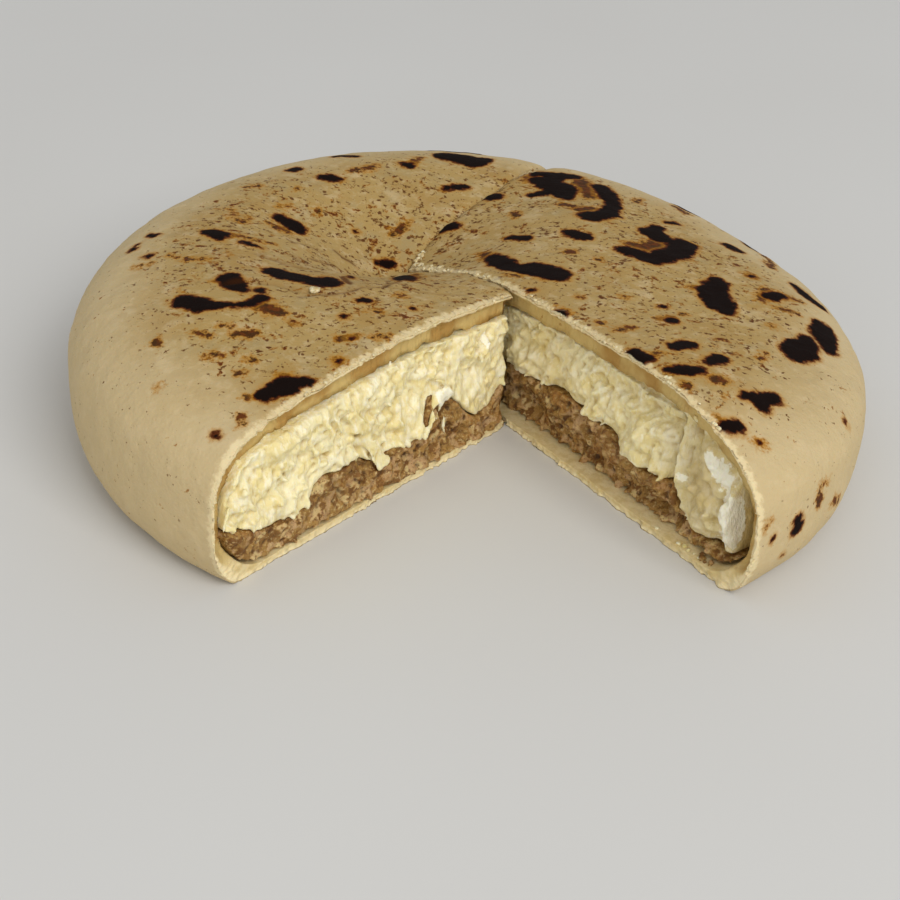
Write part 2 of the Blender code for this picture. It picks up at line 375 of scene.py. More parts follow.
MARKS_LARGE = (
    black((-6, 64, 3), (-1, 63, 3.4), (2, 65, 1.8)),
    black((-6, 47.7, 0.8), (-3.8, 49, 1.2), (-2, 50, 0.8)),
    black((-14.6, 55.6, 1.5)),
    brown((-14, 56.5, 0.9), (-12, 61, 0.8)),
    brown((-26.5, 49.5, 0.9), (-23, 51, 1.3), (-21.5, 53, 0.7)),
    black((-38.5, 49, 1.5)),
    black((-32, 45, 1), (-30.2, 45, 1.7), (-28.4, 45, 0.6)),
    black((-30, 60, 1.2), (-26.5, 59.5, 1.1)),
    black((-34, 65, 1.3), (-26, 69, 1.4)),
    black((-10, 71.5, 1.2), (0, 73, 2)),
    black((-38.6, 23.6, 1.8), (-35.4, 22, 2.2)),
    brown((-39, 19, 1.1), (-36.5, 19, 1)),
    brown((-48.5, 22.5, 0.7), (-47.7, 20.3, 0.7)),
    brown((-47.5, 17.5, 0.4), (-44.5, 17.6, 0.5)),
    brown((-44.3, 19.4, 0.6)),
    brown((-40.3, 19.6, 0.6)),
    black((-50.6, 9.6, 1.7), (-48.6, 8, 1.9)),
    brown((-46, 8.6, 0.6), (-38, 8.6, 0.4)),
    black((-44, 6, 0.5), (-42, 5.3, 0.9), (-40.3, 5, 0.4)),
    black((-62.7, 11, 0.6), (-61.6, 9.8, 0.8)),
    black((-64.6, 7, 0.3), (-64.8, 4.6, 0.8)),
    black((-61, -0.6, 0.9)),
    black((-19, 22.6, 0.6), (-16, 23.3, 0.7)),
    black((-13.6, 14, 1.6), (-13, 8, 2.2), (-12.6, 1, 1.9), (-11.8, -1.6, 1.4)),
    brown((-12.4, 13, 2.6), (-11.6, 3, 2.6)),
    brown((-16.5, 31, 0.7), (-14.6, 32.4, 1), (-13.3, 34.5, 0.7)),
    brown((-32, 31.2, 0.8)),
    brown((-39, 29.3, 0.6), (-37, 29.8, 0.6)),
    brown((-47, 37, 0.6), (-44.6, 37, 0.6)),
    brown((-36.8, 38.2, 0.6)),
    black((-24, 29, 0.4)),
    black((-23, -1, 0.3), (-22.5, -4, 0.4)),
    black((-37, -7, 2), (-33.5, -8.8, 2.6), (-29.3, -10.3, 1.9), (-26, -8.6, 2.3)),
    black((-44.7, -11.8, 1.8), (-42.8, -13.6, 2.3), (-41, -16.6, 0.9)),
    black((-38.3, -16, 1.1)),
    black((-51, -20.8, 2.2), (-48, -22.2, 2.3), (-45, -22.6, 1.3), (-42, -22.6, 0.8)),
    black((-42, -22.6, 0.8), (-39, -21.4, 0.9), (-37.4, -19.4, 1.4)),
    brown((-37.6, -20.6, 2), (-35.4, -23.4, 1.9), (-33, -24.6, 0.7)),
    black((-33.2, -48, 1.9), (-30, -45.6, 2.4), (-27.4, -44.4, 1.1), (-25.4, -43.6, 0.3)),
    brown((-31, -43.4, 1.2)),
    brown((-36, -49, 0.8)),
    brown((-41, -31.5, 0.8), (-37.8, -31, 1.2)),
    brown((-38.6, -31.4, 0.9)),
    brown((-22.4, -31, 0.7), (-20, -30.4, 1.2)),
    black((-20.3, -30.6, 0.5)),
    brown((-17.4, -29.8, 0.4), (-14, -30, 0.7)),
    brown((-22.1, -38, 1.2)),
    black((-22.1, -37.9, 0.3)),
    brown((-38.4, -42.6, 0.8)),
    brown((-44.6, -38.2, 0.4), (-42.6, -38, 0.6)),
    black((-20, -17.6, 0.4), (-19.2, -17.2, 1)),
    brown((-18.6, -21.3, 0.4), (-16.5, -21, 0.5)),
    black((-10.2, -18.8, 0.4)),
    brown((-47.4, -31.6, 0.7), (-45.3, -32.2, 0.7)),
    brown((-44, -29.4, 0.4), (-42, -29.6, 0.4)),
    brown((-54, -33.2, 0.7)),
    brown((-52, -45, 0.6)),
    black((-40.7, -56.9, 0.45)),
    brown((-37, -53.6, 0.5)),
    brown((-36.6, -55.3, 0.4)),
    brown((-13, -13.6, 0.9)),
    black((-31, -26.6, 0.4)),
    black((-22.3, -23.8, 0.35)),
    brown((-53, -3.2, 0.9), (-50, -3.6, 0.6)),
    brown((-62.5, -4.2, 0.4), (-60.5, -4.2, 0.5)),
    brown((-57, -1, 0.5), (-55.4, -2.4, 0.5)),
    brown((-45.6, -0.6, 0.5)),
    brown((-53, -16.5, 0.6)),
    brown((-37, -39, 0.8)),
    brown((-47, -12.6, 0.5)),
)

MARKS_QUARTER = (
    black((13.5, 58.5, 1.8), (21, 58.5, 2.1)),
    black((14.5, 54.5, 2.6), (18.4, 49.5, 3.5), (19.6, 43.8, 1.7)),
    black((17, 57, 2.4), (16, 52, 3)),
    brown((11.6, 55.4, 1.5), (13.5, 58, 2.2)),
    black((12.4, 46.2, 1.1), (15, 47, 1.2)),
    brown((22.6, 57, 2.4), (23.4, 52, 2.2), (24.4, 45.6, 1.8)),
    black((27.2, 52.6, 1.9), (28.6, 47.4, 2.2), (29, 41, 1.6), (28, 34.5, 2.2), (23.8, 31.8, 2.3)),
    brown((22, 35.6, 1.4), (25, 37, 1.2)),
    brown((18.6, 39, 0.9), (20.6, 37.8, 0.6)),
    black((37.6, 31.6, 1.4), (36.4, 28.4, 2.4), (38.6, 25, 2.2)),
    black((42.6, 23.6, 3.1), (40.6, 17.6, 2.9), (35.4, 12.8, 2.7), (30.4, 15.8, 2.1)),
    brown((36.6, 21.6, 2.4), (34.8, 18.4, 2.2), (31.4, 19.4, 1.6)),
    black((19.8, 22, 2), (22, 21.2, 2)),
    black((7.6, 22.4, 1), (10.4, 20.8, 1.3)),
    black((4.5, 46.4, 1.9)),
    black((-6.2, 32, 0.7), (-4.6, 33, 1.9)),
    black((4, 13.4, 1.5), (5.6, 9.2, 2.5), (8, 5.2, 1.7), (12.2, 4, 3.2), (15.6, 1.3, 3.3)),
    brown((1.8, 17.6, 0.8), (3, 14.5, 1.4)),
    brown((6.8, 2, 0.7), (9, 0.4, 0.7)),
    brown((8.2, 36.4, 0.7), (8.9, 33.8, 1)),
    brown((18.9, 13, 1)),
    brown((24.5, 9.8, 0.6)),
    black((40.2, 36, 0.6), (42.4, 36.8, 0.7)),
    brown((34.6, 46.4, 0.8), (36, 48.6, 0.5)),
    black((52.4, 30, 1.3), (54, 27.8, 1.3)),
    brown((61, 27, 1.2), (60.6, 23, 0.9)),
    brown((54.8, 13.2, 1.6)),
    black((55, 13, 0.6)),
    black((47.4, 6, 1.9), (46, 1, 3.1), (46.6, -4, 3.2), (47.6, -6.6, 1.8)),
    brown((42.4, 2, 1)),
    black((59.6, 5.6, 1.2), (57.6, 3.4, 1.6)),
    brown((57.6, 5.4, 2.2), (55.4, 1.2, 1.2)),
    brown((61, 6.4, 0.9), (63.4, 5.8, 0.7)),
    black((64.6, 15.6, 1), (66.6, 10.4, 1.7), (68, 8.4, 1.5)),
    black((67.2, -2.8, 2.5), (66.4, -7.4, 2.7), (66.8, -11.8, 1.7)),
    black((62.6, -11, 1.6), (61, -16, 3.3), (59.4, -18.8, 2.7)),
    brown((56, -9.4, 1.1)),
    brown((57.6, -0.6, 0.4), (62.4, -1.2, 0.5)),
    black((36.6, -15.4, 1.4)),
    brown((34.6, -15.2, 0.9), (37, -13.6, 1)),
    black((15.6, -14.7, 0.6), (17, -16, 0.9)),
    brown((15.4, -14.4, 1), (17.6, -16, 1)),
    brown((26.6, -21.6, 0.9), (29.2, -20.4, 0.8)),
    brown((23.4, -19.4, 0.7)),
    black((36.4, -26.8, 1.6), (38.8, -25.2, 1.7)),
    black((42.4, -31, 1.4), (44, -29, 1.7)),
    black((28.8, -31, 1.5), (30.6, -32.4, 1.5)),
    brown((31.6, -31.6, 1.2), (33.4, -30, 0.6)),
    black((34.6, -36.2, 0.8), (37.4, -35.8, 1.8), (40, -35.2, 1.2)),
    black((47.4, -40, 1), (50, -40.4, 2), (53, -37.6, 1.2)),
    black((43.4, -48.8, 1.2), (45.4, -48.4, 1.3)),
    brown((42.6, -48, 1)),
    brown((49.2, -50.2, 1)),
    black((49.2, -50.4, 0.4)),
    brown((42, -37.4, 1.2), (44, -36.8, 1)),
    brown((37, -40.6, 1)),
    brown((43.4, -42.2, 0.7)),
    brown((52, -25, 0.6), (53, -22.6, 0.4)),
    black((30.8, -42.4, 0.5)),
    black((31.2, -40.3, 0.4)),
    black((11.3, -6, 0.45)),
    black((19.9, -8.5, 0.4)),
    black((35.6, -9, 0.4)),
    brown((39, -11.5, 0.7)),
    brown((28.6, -6.5, 0.6)),
    black((66.6, -33.6, 0.4)),
    black((44, 56.5, 1.4), (47, 51.5, 1.8)),
    brown((43, 50.6, 1), (45, 46, 0.8)),
    black((57.8, 40, 1.3), (59, 36, 1.3)),
    black((20, 72.5, 1), (29, 69.5, 1.1)),
    brown((60.6, 32, 0.9), (61.4, 27, 0.9)),
    Mark(Heat.BLACK, ((-43, 13.4, 1.2), (-42.6, 11.6, 1.4)), on_side=True),
    Mark(Heat.BROWN, ((-38.4, 15.2, 0.7), (-37.6, 14, 0.9)), on_side=True),
    Mark(Heat.BROWN, ((-38, 17.2, 0.4), (-36, 16.6, 0.6)), on_side=True),
    Mark(Heat.BROWN, ((-49, 15.7, 0.8),), on_side=True),
    Mark(Heat.BROWN, ((-33.4, 11, 0.6), (-31.4, 9.4, 0.7)), on_side=True),
    Mark(Heat.BLACK, ((-47.6, 12.5, 0.35),), on_side=True),
    Mark(Heat.BLACK, ((-44.4, 6.8, 0.4),), on_side=True),
    Mark(Heat.BLACK, ((-26.6, 21.2, 0.3),), on_side=True),
)


FAR_FROM_MARKS = 6.0     # a distance at which a mark no longer shows


def nearest_mark(marks: Sequence[Mark], heat: Heat, points: Array) -> Array:
    """Distance of points from the edge of the nearest patch of one heat.

    Args:
        marks: the patches.
        heat: which of them count.
        points: places in design millimetres.

    Returns:
        One distance for each point, less than 0 inside a patch, and FAR_FROM_MARKS at the most.
    """
    nearest = np.full(len(points), FAR_FROM_MARKS)
    for mark in marks:
        if mark.heat is heat:
            nearest = np.minimum(nearest, mark.distance(points))
    return nearest


# ---------------------------------------------------------------------------------------------
# Mesh helpers
# ---------------------------------------------------------------------------------------------


def coordinates(bm: bmesh.types.BMesh) -> Array:
    """The vertices' places, one to a row."""
    return np.array([vertex.co[:] for vertex in bm.verts])


def on_ball(verts: Iterable[bmesh.types.BMVert], ball: bmesh.types.BMLayerItem) -> Array:
    """The vertices' places on the unit ball, one to a row."""
    unit = np.array([vertex[ball][:] for vertex in verts])
    return unit / np.linalg.norm(unit, axis=1, keepdims=True)


def set_coordinates(bm: bmesh.types.BMesh, places: Array) -> None:
    """Move every vertex to its row of places."""
    for vertex, place in zip(bm.verts, places.tolist()):
        vertex.co = place


def finished(bm: bmesh.types.BMesh, name: str) -> bpy.types.Mesh:
    """Turn a bmesh into a named mesh and free it."""
    mesh = bpy.data.meshes.new(name)
    bm.to_mesh(mesh)
    bm.free()
    return mesh


def put_in_scene(name: str, data: bpy.types.ID) -> bpy.types.Object:
    """Add an object that shows new data."""
    result = bpy.data.objects.new(name, data)
    bpy.context.scene.collection.objects.link(result)
    return result


def make_object(name: str, mesh: bpy.types.Mesh) -> bpy.types.Object:
    """Put a mesh made in design millimetres into the scene at the frame's size.

    Args:
        name: name of the new object.
        mesh: its mesh, which is brought to metres and shaded smooth.

    Returns:
        The object.
    """
    mesh.transform(Matrix.Scale(UNIT, 4))
    mesh.shade_smooth()
    return put_in_scene(name, mesh)


def set_attribute(mesh: bpy.types.Mesh, name: str, values: Array) -> None:
    """Keep one number for each vertex on a mesh, for a material to read."""
    layer = mesh.attributes.new(name, "FLOAT", "POINT")
    layer.data.foreach_set("value", values.astype(np.float32))


def refine(bm: bmesh.types.BMesh, chosen: Array) -> None:
    """Halve the edges whose two ends are chosen, and keep all faces triangles.

    Args:
        bm: the mesh.
        chosen: one truth value for each vertex.
    """
    bm.verts.index_update()
    edges = [e for e in bm.edges if chosen[e.verts[0].index] and chosen[e.verts[1].index]]
    bmesh.ops.subdivide_edges(bm, edges=edges, cuts=1, use_grid_fill=True)
    bmesh.ops.triangulate(bm, faces=[face for face in bm.faces if len(face.verts) > 3])


# ---------------------------------------------------------------------------------------------
# Material helpers
# ---------------------------------------------------------------------------------------------


def tone(red: int, green: int, blue: int) -> tuple[float, float, float, float]:
    """A colour given in display values from 0 to 255, as the linear values that shaders take."""
    def linear(value: int) -> float:
        """One display value as a linear one."""
        share = value / 255
        return share / 12.92 if share <= 0.04045 else ((share + 0.055) / 1.055) ** 2.4
    return linear(red), linear(green), linear(blue), 1.0


Colour = Union[tuple[float, float, float, float], Socket]
Inputs = dict[Union[int, str], Union[Value, Colour, tuple[float, float, float]]]


class Graph:
    """A material's node tree, with short calls for the nodes that the finishes use.

    Sizes are in design millimetres, on Object coordinates.
    """

    def __init__(self, name: str) -> None:
        """Start a material with a Principled shader.

        Args:
            name: the material's name.
        """
        self.material = bpy.data.materials.new(name)
        self.material.use_nodes = True
        self.tree = self.material.node_tree
        self.shader = self.tree.nodes["Principled BSDF"]
        coordinate = self.node("ShaderNodeTexCoord", {})
        self.place = self.scaled(coordinate.outputs["Object"], 1 / UNIT)

    def node(self, kind: str, inputs: Inputs, **settings: object) -> bpy.types.Node:
        """Add a node, set its properties, and link or set its inputs."""
        result = self.tree.nodes.new(kind)
        for key, value in settings.items():
            setattr(result, key, value)
        for key, value in inputs.items():
            self.feed(result.inputs[key], value)
        return result

    def feed(self, target: Socket, value: Union[Value, Colour]) -> None:
        """Link a socket to an input, or set the input to a constant."""
        if isinstance(value, bpy.types.NodeSocket):
            self.tree.links.new(value, target)
        else:
            target.default_value = value

    def scaled(self, vector: Socket, scale: float) -> Socket:
        """A vector times a number."""
        return self.node("ShaderNodeVectorMath", {0: vector, "Scale": scale},
                         operation="SCALE").outputs[0]

    def maths(self, operation: str, a: Value, b: Value = 0.0, clamp: bool = False) -> Socket:
        """Combine two numbers."""
        return self.node("ShaderNodeMath", {0: a, 1: b}, operation=operation,
                         use_clamp=clamp).outputs[0]

    def times(self, a: Value, b: Value) -> Socket:
        """The product of two numbers."""
        return self.maths("MULTIPLY", a, b)

    def plus(self, a: Value, b: Value) -> Socket:
        """The sum of two numbers."""
        return self.maths("ADD", a, b)

    def attribute(self, name: str) -> Socket:
        """A number that the mesh keeps for each vertex."""
        return self.node("ShaderNodeAttribute", {}, attribute_name=name).outputs["Fac"]

    def stretched(self, x: float, y: float, z: float) -> Socket:
        """Object coordinates with each axis scaled, for patterns that run one way."""
        return self.node("ShaderNodeMapping", {"Vector": self.place, "Scale": (x, y, z)},
                         vector_type="POINT").outputs[0]

    def noise(self, size: float, detail: float = 2.0, roughness: float = 0.5,
              distortion: float = 0.0, at: Optional[Socket] = None) -> Socket:
        """Smooth noise from 0 to 1, around 0.5, with features of a size."""
        return self.node("ShaderNodeTexNoise", {
            "Vector": at or self.place, "Scale": 1 / size, "Detail": detail,
            "Roughness": roughness, "Distortion": distortion}).outputs[0]

    def unevenness(self, size: float, detail: float, roughness: float = 0.5) -> Socket:
        """Smooth noise around 0."""
        return self.maths("SUBTRACT", self.noise(size, detail, roughness), 0.5)

    def bending(self, size: float, amount: float) -> Socket:
        """Object coordinates bent by noise, so that patterns on them are uneven."""
        result = self.node("ShaderNodeTexNoise", {"Vector": self.place, "Scale": 1 / size})
        centred = self.node("ShaderNodeVectorMath", {
            0: result.outputs["Color"], 1: (0.5, 0.5, 0.5)}, operation="SUBTRACT")
        bend = self.scaled(centred.outputs[0], amount)
        return self.node("ShaderNodeVectorMath", {0: self.place, 1: bend},
                         operation="ADD").outputs[0]

    def height(self) -> Socket:
        """Height above the floor in design millimetres."""
        return self.node("ShaderNodeSeparateXYZ", {0: self.place}).outputs["Z"]

    def specks(self, size: float, widest: float, where: Value, at: Socket) -> Socket:
        """Scattered round specks, 1 inside and 0 outside.

        Args:
            size: how far apart they lie.
            widest: radius of the largest, as a share of the size.
            where: how many there are, from 0 for none to 1.
            at: coordinates to lay them on.

        Returns:
            The mask.
        """
        spots = self.node("ShaderNodeTexVoronoi", {"Vector": at, "Scale": 1 / size}, feature="F1")
        chance = self.node("ShaderNodeSeparateColor", {0: spots.outputs["Color"]})
        here = self.maths("SUBTRACT", self.plus(chance.outputs["Red"], where), 1.0, True)
        reach = self.times(self.maths("POWER", here, 0.6), widest)
        inside = self.maths("SUBTRACT", reach, spots.outputs["Distance"])
        return self.fade(inside, -0.03, 0.05)

    def fade(self, value: Value, low: float, high: float, start: float = 0.0,
             end: float = 1.0) -> Socket:
        """A soft step: start where the value is at low, end where it is at high."""
        return self.node("ShaderNodeMapRange", {
            "Value": value, "From Min": low, "From Max": high, "To Min": start, "To Max": end,
        }, interpolation_type="SMOOTHSTEP").outputs[0]

    def blend(self, share: Value, first: Colour, second: Colour) -> Socket:
        """A colour between two: the first where the share is 0, the second where it is 1."""
        result = self.node("ShaderNodeMix", {"Factor": share, "A": first, "B": second},
                           data_type="RGBA", blend_type="MIX")
        return next(socket for socket in result.outputs if socket.type == "RGBA")

    def bump(self, height: Socket, depth: float, below: Optional[Socket] = None) -> Socket:
        """Fine relief: a height from 0 to 1, worth depth millimetres, over another relief."""
        under = {} if below is None else {"Normal": below}
        return self.node("ShaderNodeBump", {
            "Height": height, "Distance": depth * UNIT, **under}).outputs[0]

    def finish(self, colour: Colour, roughness: Value, normal: Optional[Socket] = None,
               soft: float = 0.0, soft_reach: float = 1.0,
               soft_tint: Sequence[float] = (1, 0.6, 0.3),
               specular: float = 0.5) -> bpy.types.Material:
        """Wire the shader.

        Args:
            colour: base colour.
            roughness: how matt the surface is.
            normal: relief to shade with.
            soft: share of the light that passes through the surface's outer layer.
            soft_reach: how far it spreads there, in design millimetres.
            soft_tint: how much further red, green and blue spread than each other.
            specular: strength of the reflection.

        Returns:
            The finished material.
        """
        for key, value in {
            "Base Color": colour,
            "Roughness": roughness,
            "Specular IOR Level": specular,
            "Subsurface Weight": soft,
            "Subsurface Scale": soft_reach * UNIT,
            "Subsurface Radius": tuple(soft_tint),
        }.items():
            self.feed(self.shader.inputs[key], value)
        if normal is not None:
            self.feed(self.shader.inputs["Normal"], normal)
        return self.material


# ---------------------------------------------------------------------------------------------
# Finishes
# ---------------------------------------------------------------------------------------------


@dataclass(frozen=True)
class DoughFinish:
    """Griddled flatbread dough: pale skin, brown specks, scorched patches, and its cut edge, with
    painted shade in its closed cuts and along the lines of its folds.
    """

    side: Colour = tone(197, 175, 131)
    top: Colour = tone(173, 144, 88)
    warm: Colour = tone(163, 126, 64)
    grey: Colour = tone(165, 146, 104)
    flour: Colour = tone(206, 184, 142)
    speck: Colour = tone(106, 70, 26)
    rusty: Colour = tone(148, 94, 16)
    dark_speck: Colour = tone(88, 46, 14)
    toasted: Colour = tone(172, 116, 22)
    deep_toasted: Colour = tone(84, 29, 1)
    dark_toasted: Colour = tone(40, 8, 1)
    burnt: Colour = tone(12, 4, 2)
    crumb: Colour = tone(232, 214, 168)
    lining: Colour = tone(202, 175, 112)
    lining_brown: Colour = tone(176, 138, 76)
    stain: Colour = tone(208, 184, 126)
    # painted shade: the brown that the walls of a closed cut darken to with depth
    kerf_shade: Colour = tone(128, 94, 48)

    def skin_colour(self, g: Graph) -> Socket:
        """The skin between the scorched patches: mottled, with many fine brown specks."""
        on_top = g.attribute("crown")
        colour = g.blend(on_top, self.side, self.top)
        warmth = g.times(g.fade(g.noise(13, 3), 0.45, 0.72, 0, 0.5), on_top)
        colour = g.blend(warmth, colour, self.warm)
        # grey mottling of the skin's own colour, not shade
        dull_and_shade = g.times(g.fade(g.noise(5, 4, 0.6), 0.5, 0.7, 0, 0.5), on_top)
        colour = g.blend(dull_and_shade, colour, self.grey)
        colour = g.blend(g.fade(g.noise(2.0, 4, 0.65), 0.5, 0.72, 0, 0.42), colour, self.flour)
        colour = g.blend(g.fade(g.noise(6, 3, 0.6), 0.54, 0.7, 0, 0.4), colour, self.flour)
        patchy = g.plus(g.fade(g.noise(9, 2), 0.38, 0.6, 0.0, 0.6), g.fade(on_top, 0, 1, 0, 0.9))
        crowd = g.times(patchy, g.fade(on_top, 0.0, 0.6, 0.6, 1.0))
        for size, low, share, first, second in (
            (2.4, 0.735, 0.75, self.rusty, self.deep_toasted),
            (1.15, 0.712, 0.75, self.speck, self.dark_speck),
        ):
            value = g.plus(g.noise(size, 4, 0.62, 0.3), g.times(crowd, 0.075))
            colour = g.blend(g.fade(value, low - 0.045, low, 0, share), colour, first)
            colour = g.blend(g.fade(value, low, low + 0.05, 0, 0.9), colour, second)
        for size, widest, crowded, share in ((1.7, 0.24, 0.62, 0.75), (3.1, 0.22, 0.6, 0.9)):
            spots = g.specks(size, widest, g.times(crowd, crowded), g.bending(0.6, 0.7))
            colour = g.blend(g.times(spots, share), colour, self.dark_speck)
        spots = g.specks(4.2, 0.1, 0.7, g.bending(0.7, 1.0))
        return g.blend(g.times(spots, 0.6), colour, self.speck)

    def scorched(self, g: Graph, colour: Socket) -> Socket:
        """The brown and black patches over the skin."""
        rough = g.plus(g.times(g.unevenness(0.9, 4, 0.65), 2.2),
                       g.times(g.unevenness(2.2, 3, 0.6), 1.8))
        toast = g.plus(g.attribute("toast"), g.times(rough, 1.7))
        char = g.plus(g.attribute("char"), g.times(rough, 0.75))
        uneven = g.fade(g.noise(1.3, 4, 0.65), 0.42, 0.58)
        deep = g.blend(uneven, self.deep_toasted, self.dark_toasted)
        colour = g.blend(g.fade(toast, 1.3, -0.2, 0, 0.8), colour, self.toasted)
        colour = g.blend(g.fade(toast, 0.3, -0.5, 0, 0.9), colour, deep)
        colour = g.blend(g.fade(char, 1.5, 0.3, 0, 0.65), colour, self.toasted)
        colour = g.blend(g.fade(char, 0.7, 0.1, 0, 0.95), colour, self.deep_toasted)
        return g.blend(g.fade(char, 0.25, -0.3, 0, 0.98), colour, self.burnt)

    def inside(self, g: Graph, colour: Socket) -> Socket:
        """The pale torn edge, and the moist dough below it, where the bread is cut, and painted
        shade deep in the closed cuts.
        """
        depth = g.plus(g.attribute("depth"), g.times(g.unevenness(1.1, 3), 0.9))
        lining = g.blend(g.fade(g.noise(7, 3), 0.4, 0.65), self.lining, self.lining_brown)
        lining = g.blend(g.fade(g.noise(2.4, 3, 0.6), 0.68, 0.76, 0, 0.75), lining, self.rusty)
        stained = g.fade(g.noise(2.6, 4, 0.65), 0.4, 0.66, 0.35, 0.9)
        stains = g.blend(stained, self.crumb, self.stain)
        low_down = g.fade(g.height(), 7.0, 3.0)
        lining = g.blend(low_down, lining, stains)
        depth = g.plus(depth, g.times(low_down, 0.3))
        section = g.blend(g.fade(depth, 0.55, 1.3), self.crumb, lining)
        # painted shade in the closed cuts: pale crumb at the edge, darkening with depth
        shut = g.blend(g.fade(depth, 0.1, 0.9), self.crumb, self.kerf_shade)
        section = g.blend(g.attribute("shut"), section, shut)
        colour = g.blend(g.fade(g.attribute("cut"), 0.3, 0.9), colour, section)
        edge = g.attribute("lip")
        uneven = g.times(g.unevenness(1.3, 4, 0.6), 2.4)
        lip = g.plus(edge, g.times(uneven, g.fade(edge, 0.02, 0.4)))
        clean = g.maths("MAXIMUM", g.fade(g.attribute("char"), -0.2, 0.9), g.fade(edge, 0.84, 0.96))
        torn = g.times(g.fade(lip, 0.2, 0.9, 0, 0.65), clean)
        return g.blend(torn, colour, self.crumb)

    def material(self) -> bpy.types.Material:
        """Build the material."""
        g = Graph("dough")
        colour = self.scorched(g, self.skin_colour(g))
        # painted shade along the lines of the folds
        colour = g.blend(g.times(g.attribute("crease"), 0.85), colour, self.dark_speck)
        colour = self.inside(g, colour)
        relief = g.bump(g.noise(3.0, 3), 0.35)
        relief = g.bump(g.noise(0.7, 4, 0.6), 0.14, relief)
        matt = g.fade(g.attribute("char"), 0.6, -0.4, 0.7, 0.95)
        return g.finish(colour, matt, relief, soft=0.12, soft_reach=1.2, specular=0.1)


@dataclass(frozen=True)
class CurdFinish:
    """Soft crumbled curd cheese: moist cream lumps, with painted shade in the crevices and where it
    lies in shadow, and painted highlights on pale torn curd.
    """

    lump: Colour = tone(242, 230, 182)
    pale: Colour = tone(250, 243, 216)
    buttery: Colour = tone(234, 216, 152)
    # painted shade in the crevices between the lumps, darker still in the deepest
    crevice_shade: Colour = tone(190, 160, 88)
    deep: Colour = tone(130, 100, 40)
    oil: Colour = tone(190, 170, 78)
    # painted shade where the curd lies in shadow or deep behind the cut
    dull_and_shade: Colour = tone(190, 164, 102)
    # near-white: pale torn curd with painted highlight
    pale_and_highlight: Colour = tone(255, 249, 226)

    def material(self) -> bpy.types.Material:
        """Build the material."""
        g = Graph("curd")
        tint = g.attribute("tint")
        crevice_shade = g.attribute("crevice_shade")
        colour = g.blend(g.fade(tint, 0.25, 0.8), self.lump, self.buttery)
        colour = g.blend(g.fade(g.noise(3.0, 4, 0.6), 0.5, 0.66, 0, 0.6), colour, self.pale)
        threads = g.noise(1.0, 3, 0.6, at=g.stretched(1.6, 1.6, 0.55))
        colour = g.blend(g.fade(threads, 0.5, 0.68, 0, 0.6), colour, self.pale)
        colour = g.blend(g.fade(threads, 0.44, 0.3, 0, 0.55), colour, self.buttery)
        oily = g.fade(g.noise(1.4, 3, distortion=0.6), 0.66, 0.76, 0, 0.5)
        colour = g.blend(oily, colour, self.oil)
        # painted shade in the crevices
        colour = g.blend(g.fade(crevice_shade, 0.15, 0.8, 0, 0.65), colour, self.crevice_shade)
        colour = g.blend(g.fade(crevice_shade, 0.7, 1.0, 0, 0.55), colour, self.deep)
        # painted shade where the curd lies in shadow or deep behind the cut
        colour = g.blend(g.times(g.attribute("dull_and_shade"), 0.8), colour, self.dull_and_shade)
        # painted highlight on pale torn curd, its edge broken by noise
        torn = g.times(g.unevenness(1.3, 4, 0.6), 1.6)
        highlighted = g.fade(g.plus(g.attribute("pale_and_highlight"), torn), 0.42, 0.62, 0, 0.9)
        colour = g.blend(highlighted, colour, self.pale_and_highlight)
        relief = g.bump(threads, 0.3)
        relief = g.bump(g.noise(0.5, 4, 0.65), 0.14, relief)
        wet = g.fade(g.noise(1.1, 2), 0.4, 0.65, 0.34, 0.55)
        return g.finish(colour, wet, relief, soft=0.3, soft_reach=1.2, soft_tint=(1, 0.85, 0.5),
                        specular=0.45)


@dataclass(frozen=True)
class MinceFinish:
    """Crumbly cooked mince: brown grains, some pinkish or pale, with painted shade between them."""

    brown: Colour = tone(166, 126, 62)
    dark: Colour = tone(118, 76, 22)
    pink: Colour = tone(190, 152, 104)
    pale: Colour = tone(212, 184, 124)
    golden: Colour = tone(166, 116, 52)
    # painted shade between the grains
    crevice_shade: Colour = tone(70, 40, 12)

    def material(self) -> bpy.types.Material:
        """Build the material."""
        g = Graph("mince")
        tint = g.attribute("tint")
        colour = g.blend(g.fade(tint, 0.1, 0.45), self.dark, self.brown)
        colour = g.blend(g.fade(tint, 0.55, 0.75), colour, self.pink)
        colour = g.blend(g.fade(tint, 0.84, 0.95), colour, self.pale)
        colour = g.blend(g.fade(g.noise(5.5, 2), 0.52, 0.7, 0, 0.7), colour, self.golden)
        small = g.noise(0.7, 4, 0.7)
        colour = g.blend(g.fade(small, 0.47, 0.36, 0, 0.85), colour, self.dark)
        colour = g.blend(g.fade(small, 0.54, 0.66, 0, 0.75), colour, self.pale)
        # painted shade between the grains
        colour = g.blend(g.fade(g.attribute("crevice_shade"), 0.15, 0.8, 0, 0.85), colour, self.crevice_shade)
        relief = g.bump(g.noise(0.6, 4, 0.7), 0.5)
        wet = g.fade(g.noise(0.9, 2), 0.4, 0.65, 0.36, 0.62)
        return g.finish(colour, wet, relief, soft=0.12, soft_reach=0.8, soft_tint=(1, 0.5, 0.3),
                        specular=0.45)


# ---------------------------------------------------------------------------------------------
# Dough
# ---------------------------------------------------------------------------------------------


@dataclass(frozen=True)
class Blade:
    """One side of a knife cut that bounds a piece."""

    knife: Knife
    shift: float           # how far left of the knife's line the piece's face lies
    outward: int           # 1 if the piece ends there going left, -1 if going right
    start: float = -FAR    # the stretch of the line that counts
    end: float = FAR
    shows: bool = True

    def beyond(self, points: Array) -> Array:
        """How far points lie outside the piece, past this face."""
        return self.outward * (self.knife.off(points) - self.shift)

    def normal(self) -> Array:
        """Unit vector pointing out of the piece."""
        return self.outward * self.knife.left()

    def covers(self, points: Array) -> Array:
        """Whether points lie beside the stretch of the line that counts."""
        along = self.knife.along(points)
        return (along > self.start) & (along < self.end)


